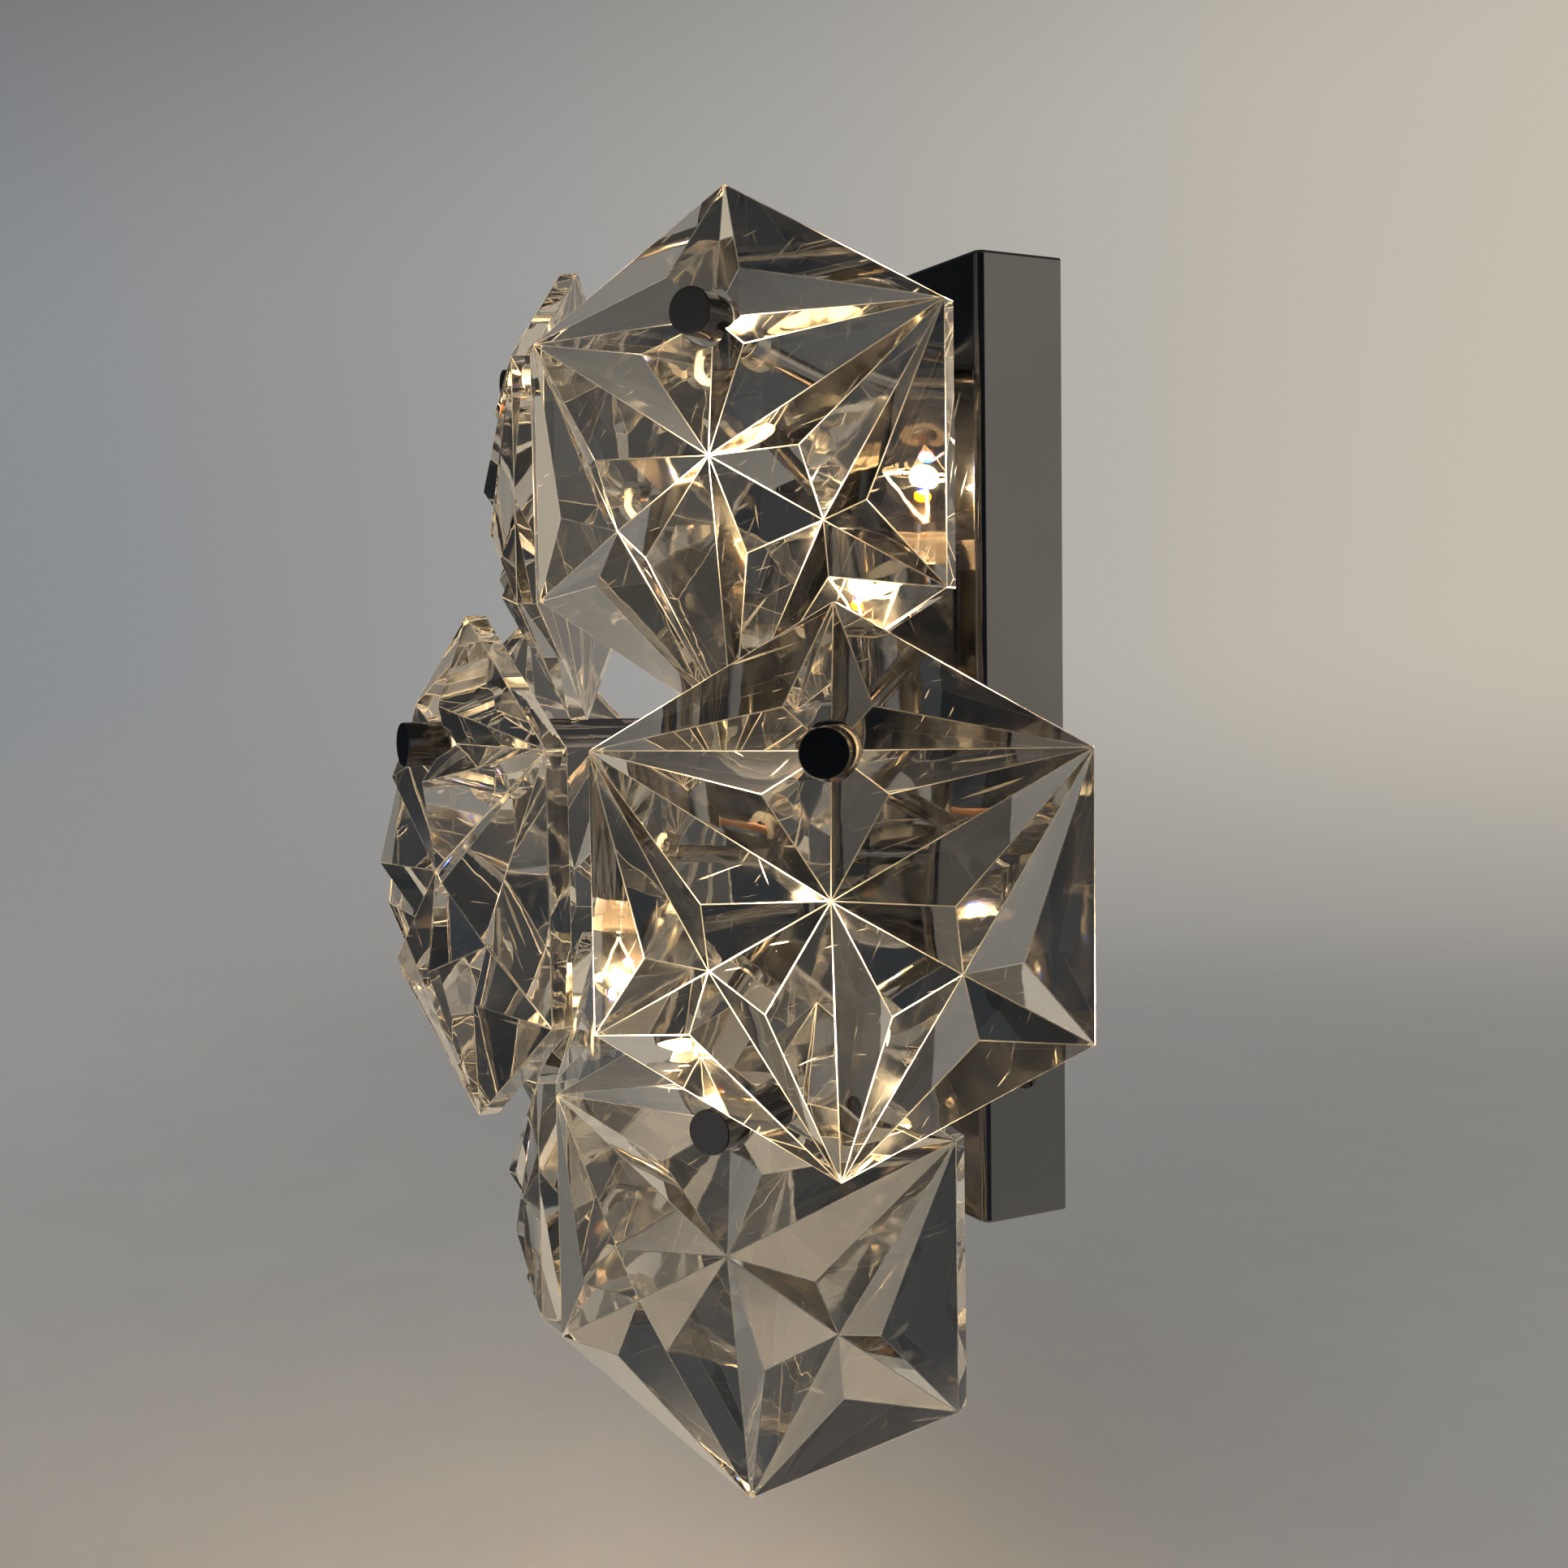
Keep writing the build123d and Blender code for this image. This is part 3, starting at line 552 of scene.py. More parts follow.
@dataclass(frozen=True)
class ClearGlass(Finish):
    """Clear glass: pressed and fire-polished for the crystals, blown for the bulbs.

    Attributes:
        name: The finish's name.
        tint: Colour that the glass lets through.
        bend: Its index of refraction.
        ripple: Depth of the slow waves that pressing leaves, in metres.
        wear: Roughness in a scratch.
        rubbed: Roughness on a worn arris.
    """

    name: str = "pressed_crystal"
    tint: tuple[float, float, float] = (0.885, 0.85, 0.775)
    bend: float = 1.56
    ripple: float = 0.00016
    wear: float = 0.24
    rubbed: float = 0.3

    def make(self) -> bpy.types.Material:
        """Make the glass.

        Returns:
            The material.
        """
        graph = ShaderGraph(self.name)
        graph.set(Transmission_Weight=1.0, IOR=self.bend)
        scratches = graph.combine(graph.hairlines(700, self.wear), graph.hairlines(1900, self.wear), "MAXIMUM")
        specks = graph.spread(graph.noise(2600, 0.0), 0.86, 0.92, 0.0, self.wear)
        scratches = graph.combine(scratches, specks, "MAXIMUM")
        film = graph.spread(graph.noise(60, 4.0), 0.45, 0.75, 0.01, 0.08)
        arris = graph.add("ShaderNodeAttribute", attribute_name="arris").outputs["Fac"]
        rubbed = graph.spread(arris, 0.0, 1.0, 0.0, self.rubbed)
        graph.join(
            graph.combine(graph.combine(film, scratches), rubbed, "MAXIMUM"), graph.shader.inputs["Roughness"]
        )
        faint = tuple(0.97 * value for value in self.tint)
        graph.tint(graph.spread(graph.noise(25, 2.0), 0.3, 0.7, 0.0, 1.0), faint, self.tint)
        waves = ((graph.noise(60, 0.0), self.ripple), (graph.noise(190, 1.0), 0.12 * self.ripple))
        graph.bumps((*waves, (scratches, 0.000006)))
        return graph.material


@dataclass(frozen=True)
class BareMetal(Finish):
    """Plated or bare metal with a drawn grain, dull patches and fine pitting.

    Attributes:
        name: The finish's name.
        tint: Colour where it is bright.
        dull: Colour where it has tarnished.
        gloss: Roughness where it is bright and where it is dull.
        grain: How many times longer the grain is along each axis.
    """

    name: str
    tint: tuple[float, float, float]
    dull: tuple[float, float, float]
    gloss: tuple[float, float] = (0.22, 0.45)
    grain: tuple[float, float, float] = (1.0, 1.0, 12.0)

    def make(self) -> bpy.types.Material:
        """Make the metal.

        Returns:
            The material.
        """
        graph = ShaderGraph(self.name)
        graph.set(Metallic=1.0)
        patches = graph.spread(graph.noise(110, 4.0), 0.35, 0.7, 0.0, 1.0)
        graph.tint(patches, self.tint, self.dull)
        rough = graph.spread(graph.noise(160, 3.0), 0.3, 0.7, *self.gloss)
        graph.join(rough, graph.shader.inputs["Roughness"])
        graph.bumps(
            ((graph.noise(2600, 2.0, self.grain), 0.000012), (graph.noise(900, 2.0), 0.000008))
        )
        return graph.material


@dataclass(frozen=True)
class Moulded(Finish):
    """Moulded plastic or rubber with a fine grain and a little dust.

    Attributes:
        name: The finish's name.
        tint: Its colour.
        dusty: Its colour where dust lies.
        gloss: Roughness where it is smooth and where it is dusty.
        clear: How much light it lets through, from 0 to 1.
    """

    name: str
    tint: tuple[float, float, float]
    dusty: tuple[float, float, float]
    gloss: tuple[float, float] = (0.32, 0.6)
    clear: float = 0.0

    def make(self) -> bpy.types.Material:
        """Make the plastic.

        Returns:
            The material.
        """
        graph = ShaderGraph(self.name)
        graph.set(Transmission_Weight=self.clear, IOR=1.49)
        dust = graph.spread(graph.noise(80, 5.0), 0.4, 0.75, 0.0, 1.0)
        graph.tint(dust, self.tint, self.dusty)
        graph.join(graph.spread(dust, 0.0, 1.0, *self.gloss), graph.shader.inputs["Roughness"])
        graph.bumps(((graph.noise(1800, 3.0), 0.00001), (graph.noise(120, 2.0), 0.00003)))
        return graph.material


@dataclass(frozen=True)
class StripedInsulation(Finish):
    """Green insulation with a yellow stripe that winds round the lead.

    Attributes:
        name: The finish's name.
        green: The main colour.
        yellow: The stripe's colour.
    """

    name: str = "earth_insulation"
    green: tuple[float, float, float] = (0.06, 0.28, 0.05)
    yellow: tuple[float, float, float] = (0.75, 0.62, 0.05)

    def make(self) -> bpy.types.Material:
        """Make the striped insulation.

        Returns:
            The material.
        """
        graph = ShaderGraph(self.name)
        wave = graph.add("ShaderNodeTexWave", wave_type="BANDS", bands_direction="DIAGONAL")
        wave.inputs["Scale"].default_value = 60
        wave.inputs["Distortion"].default_value = 0.6
        graph.join(graph.place, wave.inputs["Vector"])
        graph.tint(graph.spread(wave.outputs["Fac"], 0.62, 0.72, 0.0, 1.0), self.green, self.yellow)
        graph.join(graph.spread(graph.noise(300, 3.0), 0.3, 0.7, 0.35, 0.5), graph.shader.inputs["Roughness"])
        graph.bumps(((graph.noise(900, 2.0), 0.00001),))
        return graph.material


@dataclass(frozen=True)
class GlowingWire(Finish):
    """Tungsten wire that glows, a little unevenly along its length.

    Attributes:
        name: The finish's name.
        glow: Colour of its light.
        strength: Strength of its light.
    """

    name: str = "glowing_tungsten"
    glow: tuple[float, float, float] = (1.0, 0.62, 0.28)
    strength: float = 260.0

    def make(self) -> bpy.types.Material:
        """Make the glowing wire.

        Returns:
            The material.
        """
        graph = ShaderGraph(self.name)
        graph.set(Metallic=1.0, Emission_Color=(*self.glow, 1))
        graph.tint(graph.noise(900, 2.0), (0.35, 0.33, 0.31), (0.6, 0.56, 0.5))
        graph.join(graph.spread(graph.noise(500, 2.0), 0.3, 0.7, 0.3, 0.5), graph.shader.inputs["Roughness"])
        glow = graph.spread(graph.noise(260, 1.0), 0.25, 0.75, 0.7 * self.strength, 1.2 * self.strength)
        graph.join(glow, graph.shader.inputs["Emission Strength"])
        graph.bumps(((graph.noise(4000, 2.0), 0.000004),))
        return graph.material


CRYSTAL = ClearGlass()
BLOWN_GLASS = ClearGlass("blown_glass", (0.99, 0.985, 0.97), 1.46, 0.00002, 0.08)
STEM_GLASS = ClearGlass("stem_glass", (0.96, 0.96, 0.94), 1.5, 0.00008, 0.05)
CHROME = Chrome()
# Cover chrome with its reflection colour set to about half of plain chrome's: painted shade that stands in for the
# dim room it would reflect.
SHADE_DARKENED_SHEET_CHROME = Chrome("sheet_chrome", (0.27, 0.262, 0.25), (0.05, 0.15), 0.00008)
# Cap-nut chrome with its reflection colour set to about a quarter of plain chrome's: painted shade that stands in
# for the dim room it would reflect.
SHADE_DARKENED_NUT_CHROME = Chrome("dark_nut_chrome", (0.13, 0.128, 0.13), (0.05, 0.16), 0.00001)
NICKEL = BareMetal("nickelled_brass", (0.66, 0.62, 0.53), (0.42, 0.38, 0.3), (0.18, 0.36))
BRASS = BareMetal("bare_brass", (0.72, 0.52, 0.22), (0.42, 0.29, 0.12))
ZINC = BareMetal("zinc_plate", (0.55, 0.56, 0.57), (0.36, 0.37, 0.38))
BRACKET_STEEL = BareMetal("bracket_steel", (0.5, 0.51, 0.53), (0.33, 0.34, 0.35), (0.25, 0.5))
DARK_STEEL = BareMetal("blackened_steel", (0.06, 0.06, 0.065), (0.13, 0.11, 0.1), (0.3, 0.5))
IVORY = Moulded("ivory_moulding", (0.74, 0.68, 0.55), (0.6, 0.55, 0.44))
WHITE_NYLON = Moulded("white_nylon", (0.78, 0.77, 0.72), (0.62, 0.61, 0.57))
CLEAR_PLASTIC = Moulded("clear_plastic", (0.92, 0.93, 0.93), (0.82, 0.82, 0.8), (0.08, 0.25), 0.92)
BLACK_GLASS = Moulded("black_cap_glass", (0.015, 0.014, 0.016), (0.06, 0.055, 0.05), (0.1, 0.4))
RUBBER = Moulded("black_rubber", (0.02, 0.02, 0.021), (0.07, 0.068, 0.064), (0.55, 0.8))
BROWN_CORE = Moulded("brown_insulation", (0.03, 0.016, 0.01), (0.055, 0.038, 0.028))
BLUE_CORE = Moulded("blue_insulation", (0.03, 0.1, 0.38), (0.1, 0.16, 0.36))
EARTH_CORE = StripedInsulation()
GLOW = GlowingWire()


# ---------------------------------------------------------------- meshes


def revolved(profile: Profile, segments: int = 64, closed: bool = False) -> bmesh.types.BMesh:
    """Turn a profile about the local z axis.

    Args:
        profile: Points as radius and height; a radius of 0 is a point on the axis.
        segments: Sides of the round.
        closed: Whether the profile is a loop.

    Returns:
        The closed surface, with its faces outwards.
    """
    bm = bmesh.new()
    rings = []
    for radius, height in profile:
        if radius < 1e-9:
            rings.append([bm.verts.new((0, 0, height))])
            continue
        angles = [FULL_TURN * i / segments for i in range(segments)]
        rings.append([bm.verts.new((radius * math.cos(a), radius * math.sin(a), height)) for a in angles])
    pairs = list(zip(rings, rings[1:])) + ([(rings[-1], rings[0])] if closed else [])
    for low, high in pairs:
        for i in range(segments):
            j = (i + 1) % segments
            corners = [low[i % len(low)], low[j % len(low)], high[j % len(high)], high[i % len(high)]]
            unique = list(dict.fromkeys(corners))
            if len(unique) > 2:
                bm.faces.new(unique)
    bmesh.ops.recalc_face_normals(bm, faces=bm.faces)
    return bm


def rounded(points: Profile, radius: float, steps: int = 4, closed: bool = False) -> list[tuple[float, float]]:
    """Round a profile's corners.

    Args:
        points: The profile's corners.
        radius: How far each round starts from its corner.
        steps: Divisions of each round.
        closed: Whether the profile is a loop.

    Returns:
        The rounded profile.
    """
    made: list[tuple[float, float]] = []
    count = len(points)
    for i, point in enumerate(points):
        here = Vector(point)
        if not closed and i in (0, count - 1):
            made.append(tuple(here))
            continue
        before, after = Vector(points[i - 1]), Vector(points[(i + 1) % count])
        back = (before - here).normalized() * min(radius, 0.45 * (before - here).length)
        on = (after - here).normalized() * min(radius, 0.45 * (after - here).length)
        for k in range(steps + 1):
            t = k / steps
            made.append(tuple(here + back * (1 - t) ** 2 + on * t**2))
    return made


def to_mesh(bm: bmesh.types.BMesh, name: str) -> bpy.types.Mesh:
    """Write a bmesh to a new mesh.

    Args:
        bm: The bmesh, which is freed.
        name: The mesh's name.

    Returns:
        The mesh.
    """
    mesh = bpy.data.meshes.new(name)
    bm.to_mesh(mesh)
    bm.free()
    return mesh


def joined(meshes: Sequence[bpy.types.Mesh], name: str) -> bpy.types.Mesh:
    """Join meshes into one.

    Args:
        meshes: The meshes.
        name: The new mesh's name.

    Returns:
        The joined mesh.
    """
    bm = bmesh.new()
    for mesh in meshes:
        bm.from_mesh(mesh)
    return to_mesh(bm, name)


def point_mesh(spots: Iterable[tuple[Sequence[float], Sequence[float]]], name: str) -> bpy.types.Mesh:
    """Mesh of single points that each hold the direction of what stands there.

    Args:
        spots: Places and directions, the places in millimetres.
        name: The mesh's name.

    Returns:
        The mesh, with the directions in its attribute "aim".
    """
    spots = list(spots)
    mesh = bpy.data.meshes.new(name)
    mesh.from_pydata([Vector(place) * MM for place, _ in spots], [], [])
    aim = mesh.attributes.new("aim", "FLOAT_VECTOR", "POINT")
    aim.data.foreach_set("vector", [value for _, way in spots for value in way])
    return mesh


def cleaned(node: str, bevel: float = 0.0, flat: float = 0.4) -> bpy.types.Mesh:
    """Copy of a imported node's mesh with its triangles merged and its edges eased.

    Args:
        node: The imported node.
        bevel: Width of the eased edges, in millimetres, or 0 for none.
        flat: Angle in degrees under which neighbouring triangles are one face.

    Returns:
        The copy.
    """
    bm = bmesh.new()
    bm.from_mesh(frame["nodes"][node].data)
    bmesh.ops.remove_doubles(bm, verts=bm.verts, dist=0.002 * MM)
    bmesh.ops.dissolve_limit(bm, angle_limit=math.radians(flat), verts=bm.verts, edges=bm.edges)
    mesh = to_mesh(bm, node + "_eased")
    if not bevel:
        return mesh
    holder = new_object(node + "_bevel", mesh)
    ease = holder.modifiers.new("ease", "BEVEL")
    ease.width = bevel * MM
    ease.segments = 2
    ease.limit_method = "ANGLE"
    ease.angle_limit = math.radians(40)
    return applied_mesh(holder)


@dataclass(frozen=True)
class Bench:
    """Finishes pieces and hands them to the frame."""

    sharp: float = 32.0

    def piece(
        self,
        name: str,
        mesh: bpy.types.Mesh,
        finish: Finish,
        body: str = FIXTURE,
        replaces: Sequence[str] = (),
        matrix: Matrix | None = None,
    ) -> bpy.types.Object:
        """Make a mesh a piece: shaded, dressed and riding on its body.

        Args:
            name: The piece's name.
            mesh: Its mesh.
            finish: Its finish.
            body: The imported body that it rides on.
            replaces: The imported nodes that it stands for.
            matrix: Its place, where the mesh is in a local frame.

        Returns:
            The piece.
        """
        if matrix is not None:
            mesh.transform(matrix)
        mesh.materials.clear()
        mesh.materials.append(finish.material())
        mesh.shade_smooth()
        mesh.set_sharp_from_angle(angle=math.radians(self.sharp))
        holder = new_object(name + "_plain", mesh)
        flatten = holder.modifiers.new("flatten", "WEIGHTED_NORMAL")
        flatten.keep_sharp = True
        flatten.weight = 80
        final = applied_mesh(holder)
        final.name = name
        made = new_object(name, final)
        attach(made, body)
        if replaces:
            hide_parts(*replaces)
        log.info("piece %s on %s: %d faces", name, body, len(final.polygons))
        return made

    def eased_node(
        self, node: str, finish: Finish, body: str = FIXTURE, bevel: float = 0.0
    ) -> bpy.types.Object:
        """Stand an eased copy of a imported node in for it.

        Args:
            node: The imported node.
            finish: Its finish.
            body: The body that it rides on.
            bevel: Width of its eased edges, in millimetres.

        Returns:
            The piece.
        """
        return self.piece(node + "_dressed", cleaned(node, bevel), finish, body, [node])


BENCH = Bench()


# ---------------------------------------------------------------- geometry node trees


def fan_tree() -> GeometryTree:
    """Tree that repeats a sixth of a crystal to the whole: mirrored, then turned three ways.

    Returns:
        The tree, whose inputs are the count of turns and the distance that it merges.
    """
    tree = GeometryTree("crystal_fan", {"Turns": ("Int", 3), "Merge": ("Float", 0.001)})
    half = tree.given["Geometry"]
    mirrored = tree.add("GeometryNodeTransform", {"Geometry": half, "Scale": (-1, 1, 1)})
    flipped = tree.add("GeometryNodeFlipFaces", {"Mesh": mirrored.outputs[0]})
    pair = tree.add("GeometryNodeJoinGeometry")
    tree.tree.links.new(half, pair.inputs[0])
    tree.tree.links.new(flipped.outputs[0], pair.inputs[0])
    spots = tree.add("GeometryNodeMeshLine", {"Count": tree.given["Turns"], "Offset": (0, 0, 0)})
    index = tree.add("GeometryNodeInputIndex").outputs[0]
    angle = tree.math("DIVIDE", tree.math("MULTIPLY", index, FULL_TURN), tree.given["Turns"])
    turn = tree.add("FunctionNodeAxisAngleToRotation", {"Axis": (0, 0, 1), "Angle": angle})
    fan = tree.add(
        "GeometryNodeInstanceOnPoints",
        {"Points": spots.outputs[0], "Instance": pair.outputs[0], "Rotation": turn.outputs[0]},
    )
    real = tree.add("GeometryNodeRealizeInstances", {"Geometry": fan.outputs[0]})
    whole = tree.add(
        "GeometryNodeMergeByDistance", {"Geometry": real.outputs[0], "Distance": tree.given["Merge"]}
    )
    tree.finish(whole.outputs[0])
    return tree


def pocket_tree() -> GeometryTree:
    """Tree that bores a crystal for its stud and sinks a flat seat for the cap nut.

    Returns:
        The tree, whose inputs are the bore's and the seat's sizes in millimetres.
    """
    tree = GeometryTree(
        "stud_bore",
        {
            "Bore Radius": ("Float", 3.25),
            "Seat Radius": ("Float", 6.3),
            "Seat Rise": ("Float", 4.5),
            "Offset": ("Float", 30.0),
        },
    )
    depth = 40.0
    tools = []
    seat_middle = tree.math("ADD", tree.given["Seat Rise"], depth / 2)
    for radius, rise in (("Bore Radius", 0.0), ("Seat Radius", seat_middle)):
        place = tree.add("ShaderNodeCombineXYZ", {"Y": tree.given["Offset"], "Z": rise})
        tool = tree.add("GeometryNodeMeshCylinder", {"Vertices": 72, "Radius": tree.given[radius], "Depth": depth})
        tools.append(
            tree.add("GeometryNodeTransform", {"Geometry": tool.outputs[0], "Translation": place.outputs[0]})
        )
    shape = tree.given["Geometry"]
    for tool in tools:
        cut = tree.add("GeometryNodeMeshBoolean", operation="DIFFERENCE", solver="EXACT")
        tree.tree.links.new(shape, cut.inputs["Mesh 1"])
        tree.tree.links.new(tool.outputs[0], cut.inputs["Mesh 2"])
        shape = cut.outputs[0]
    tree.finish(shape)
    return tree


def thread_tree() -> GeometryTree:
    """Tree that winds a thread's ridge up the local z axis.

    Returns:
        The tree, whose inputs are the thread's sizes in millimetres.
    """
    tree = GeometryTree(
        "wound_thread",
        {
            "Radius": ("Float", 2.0),
            "Pitch": ("Float", 0.7),
            "Turns": ("Float", 20.0),
            "Ridge": ("Float", 0.3),
            "Start": ("Float", 0.0),
        },
    )
    height = tree.math("MULTIPLY", tree.given["Pitch"], tree.given["Turns"])
    spiral = tree.add(
        "GeometryNodeCurveSpiral",
        {
            "Resolution": 28,
            "Rotations": tree.given["Turns"],
            "Start Radius": tree.given["Radius"],
            "End Radius": tree.given["Radius"],
            "Height": height,
        },
    )
    ridge = tree.add("GeometryNodeCurvePrimitiveCircle", {"Resolution": 4, "Radius": tree.given["Ridge"]})
    wound = tree.add(
        "GeometryNodeCurveToMesh",
        {"Curve": spiral.outputs[0], "Profile Curve": ridge.outputs[0], "Fill Caps": True},
    )
    lift = tree.add("ShaderNodeCombineXYZ", {"Z": tree.given["Start"]})
    placed = tree.add(
        "GeometryNodeTransform", {"Geometry": wound.outputs[0], "Translation": lift.outputs[0]}
    )
    tree.finish(placed.outputs[0])
    return tree


def screw_tree() -> GeometryTree:
    """Tree that slots a screw, turns each copy its own way and stands them where the points aim.

    Returns:
        The tree. The screw comes as an object in millimetres; the points are in metres.
    """
    tree = GeometryTree(
        "slotted_screws",
        {
            "Screw": ("Object", None),
            "Slot Width": ("Float", 1.0),
            "Slot Depth": ("Float", 1.2),
            "Slot Top": ("Float", 2.6),
            "Seed": ("Int", 4),
        },
    )
    screw = tree.add(
        "GeometryNodeObjectInfo", {"Object": tree.given["Screw"]}, transform_space="ORIGINAL"
    ).outputs["Geometry"]
    deep = tree.math("MULTIPLY", tree.given["Slot Depth"], 2.0)
    size = tree.add("ShaderNodeCombineXYZ", {"X": 30.0, "Y": tree.given["Slot Width"], "Z": deep})
    cutter = tree.add("GeometryNodeMeshCube", {"Size": size.outputs[0]})
    rise = tree.add("ShaderNodeCombineXYZ", {"Z": tree.given["Slot Top"]})
    lifted = tree.add(
        "GeometryNodeTransform", {"Geometry": cutter.outputs[0], "Translation": rise.outputs[0]}
    )
    slotted = tree.add("GeometryNodeMeshBoolean", operation="DIFFERENCE", solver="EXACT")
    tree.tree.links.new(screw, slotted.inputs["Mesh 1"])
    tree.tree.links.new(lifted.outputs[0], slotted.inputs["Mesh 2"])
    aim = tree.add("GeometryNodeInputNamedAttribute", {"Name": "aim"}, data_type="FLOAT_VECTOR")
    turned = tree.add("FunctionNodeAlignRotationToVector", {"Vector": aim.outputs[0]}, axis="Z")
    chance = tree.add("FunctionNodeRandomValue", {"Seed": tree.given["Seed"]}, data_type="FLOAT")
    angle = tree.math("MULTIPLY", chance.outputs[1], math.pi)
    spin = tree.add("FunctionNodeAxisAngleToRotation", {"Axis": (0, 0, 1), "Angle": angle})
    spun = tree.add(
        "FunctionNodeRotateRotation",
        {"Rotation": turned.outputs[0], "Rotate By": spin.outputs[0]},
        rotation_space="LOCAL",
    )
    stood = tree.add(
        "GeometryNodeInstanceOnPoints",
        {
            "Points": tree.given["Geometry"],
            "Instance": slotted.outputs[0],
            "Rotation": spun.outputs[0],
            "Scale": (MM, MM, MM),
        },
    )
    tree.finish(stood.outputs[0])
    return tree


def ring_tree() -> GeometryTree:
    """Tree that stands copies of one round part where the points aim.

    Returns:
        The tree. The part comes as an object in millimetres; the points are in metres.
    """
    tree = GeometryTree("repeated_part", {"Part": ("Object", None)})
    part = tree.add(
        "GeometryNodeObjectInfo", {"Object": tree.given["Part"]}, transform_space="ORIGINAL"
    ).outputs["Geometry"]
    aim = tree.add("GeometryNodeInputNamedAttribute", {"Name": "aim"}, data_type="FLOAT_VECTOR")
    turned = tree.add("FunctionNodeAlignRotationToVector", {"Vector": aim.outputs[0]}, axis="Z")
    stood = tree.add(
        "GeometryNodeInstanceOnPoints",
        {
            "Points": tree.given["Geometry"],
            "Instance": part,
            "Rotation": turned.outputs[0],
            "Scale": (MM, MM, MM),
        },
    )
    tree.finish(stood.outputs[0])
    return tree


def rolled_thread_tree() -> GeometryTree:
    """Tree that rolls a round thread into a thin shell about the local z axis.

    Returns:
        The tree, whose inputs are the thread's sizes in millimetres.
    """
    tree = GeometryTree(
        "rolled_thread",
        {
            "Pitch": ("Float", 2.82),
            "Depth": ("Float", 0.5),
            "Start": ("Float", 4.5),
            "End": ("Float", 19.0),
        },
    )
    place = tree.add("GeometryNodeInputPosition").outputs[0]
    axes = tree.add("ShaderNodeSeparateXYZ", {0: place}).outputs
    angle = tree.math("ARCTAN2", axes["Y"], axes["X"])
    climb = tree.math("DIVIDE", tree.math("MULTIPLY", axes["Z"], FULL_TURN), tree.given["Pitch"])
    wave = tree.math("SUBTRACT", tree.math("COSINE", tree.math("SUBTRACT", climb, angle)), 1.0)
    fade = None
    for first, last in (("Start", 1.5), ("End", -1.5)):
        limit = tree.given[first]
        step = tree.add(
            "ShaderNodeMapRange",
            {"Value": axes["Z"], "From Min": limit, "From Max": tree.math("ADD", limit, last)},
            interpolation_type="SMOOTHSTEP",
        ).outputs[0]
        fade = step if fade is None else tree.math("MULTIPLY", fade, step)
    size = tree.math("MULTIPLY", tree.math("MULTIPLY", wave, fade), tree.math("MULTIPLY", tree.given["Depth"], 0.5))
    level = tree.add("ShaderNodeCombineXYZ", {"X": axes["X"], "Y": axes["Y"]}).outputs[0]
    way = tree.vector("NORMALIZE", level)
    offset = tree.add("ShaderNodeVectorMath", {0: way, "Scale": size}, operation="SCALE").outputs[0]
    moved = tree.add("GeometryNodeSetPosition", {"Geometry": tree.given["Geometry"], "Offset": offset})
    tree.finish(moved.outputs[0])
    return tree


def coil_tree() -> GeometryTree:
    """Tree that coils a wire along an arc about the local z axis.

    Returns:
        The tree, whose inputs are the arc's and the coil's sizes in millimetres.
    """
    tree = GeometryTree(
        "coiled_wire",
        {
            "Ring Radius": ("Float", 8.0),
            "Coil Radius": ("Float", 0.28),
            "Wire Radius": ("Float", 0.1),
            "Turns": ("Float", 48.0),
            "Sweep": ("Float", 4.36),
            "Turn To": ("Float", 0.0),
            "Height": ("Float", 47.5),
        },
    )
    line = tree.add("GeometryNodeCurvePrimitiveLine", {"End": (1, 0, 0)})
    fine = tree.add("GeometryNodeResampleCurve", {"Curve": line.outputs[0], "Count": 620})
    along = tree.add("GeometryNodeSplineParameter").outputs["Factor"]
    bend = tree.math("ADD", tree.math("MULTIPLY", along, tree.given["Sweep"]), tree.given["Turn To"])
    phase = tree.math("MULTIPLY", tree.math("MULTIPLY", along, FULL_TURN), tree.given["Turns"])
    out = tree.math("MULTIPLY", tree.given["Coil Radius"], tree.math("COSINE", phase))
    up = tree.math("MULTIPLY", tree.given["Coil Radius"], tree.math("SINE", phase))
    radius = tree.math("ADD", tree.given["Ring Radius"], out)
    rise = tree.math("ADD", tree.given["Height"], up)
    place = tree.add(
        "ShaderNodeCombineXYZ",
        {
            "X": tree.math("MULTIPLY", radius, tree.math("COSINE", bend)),
            "Y": tree.math("MULTIPLY", radius, tree.math("SINE", bend)),
            "Z": rise,
        },
    )
    coiled = tree.add("GeometryNodeSetPosition", {"Geometry": fine.outputs[0], "Position": place.outputs[0]})
    wire = tree.add("GeometryNodeCurvePrimitiveCircle", {"Resolution": 6, "Radius": tree.given["Wire Radius"]})
    solid = tree.add(
        "GeometryNodeCurveToMesh",
        {"Curve": coiled.outputs[0], "Profile Curve": wire.outputs[0], "Fill Caps": True},
    )
    tree.finish(solid.outputs[0])
    return tree


@dataclass
class Trees:
    """The geometry node trees, each built once."""

    fan: GeometryTree = field(default_factory=fan_tree)
    pocket: GeometryTree = field(default_factory=pocket_tree)
    thread: GeometryTree = field(default_factory=thread_tree)
    screws: GeometryTree = field(default_factory=screw_tree)
    rings: GeometryTree = field(default_factory=ring_tree)
    rolled: GeometryTree = field(default_factory=rolled_thread_tree)
    coil: GeometryTree = field(default_factory=coil_tree)


# ---------------------------------------------------------------- crystals and what clamps them


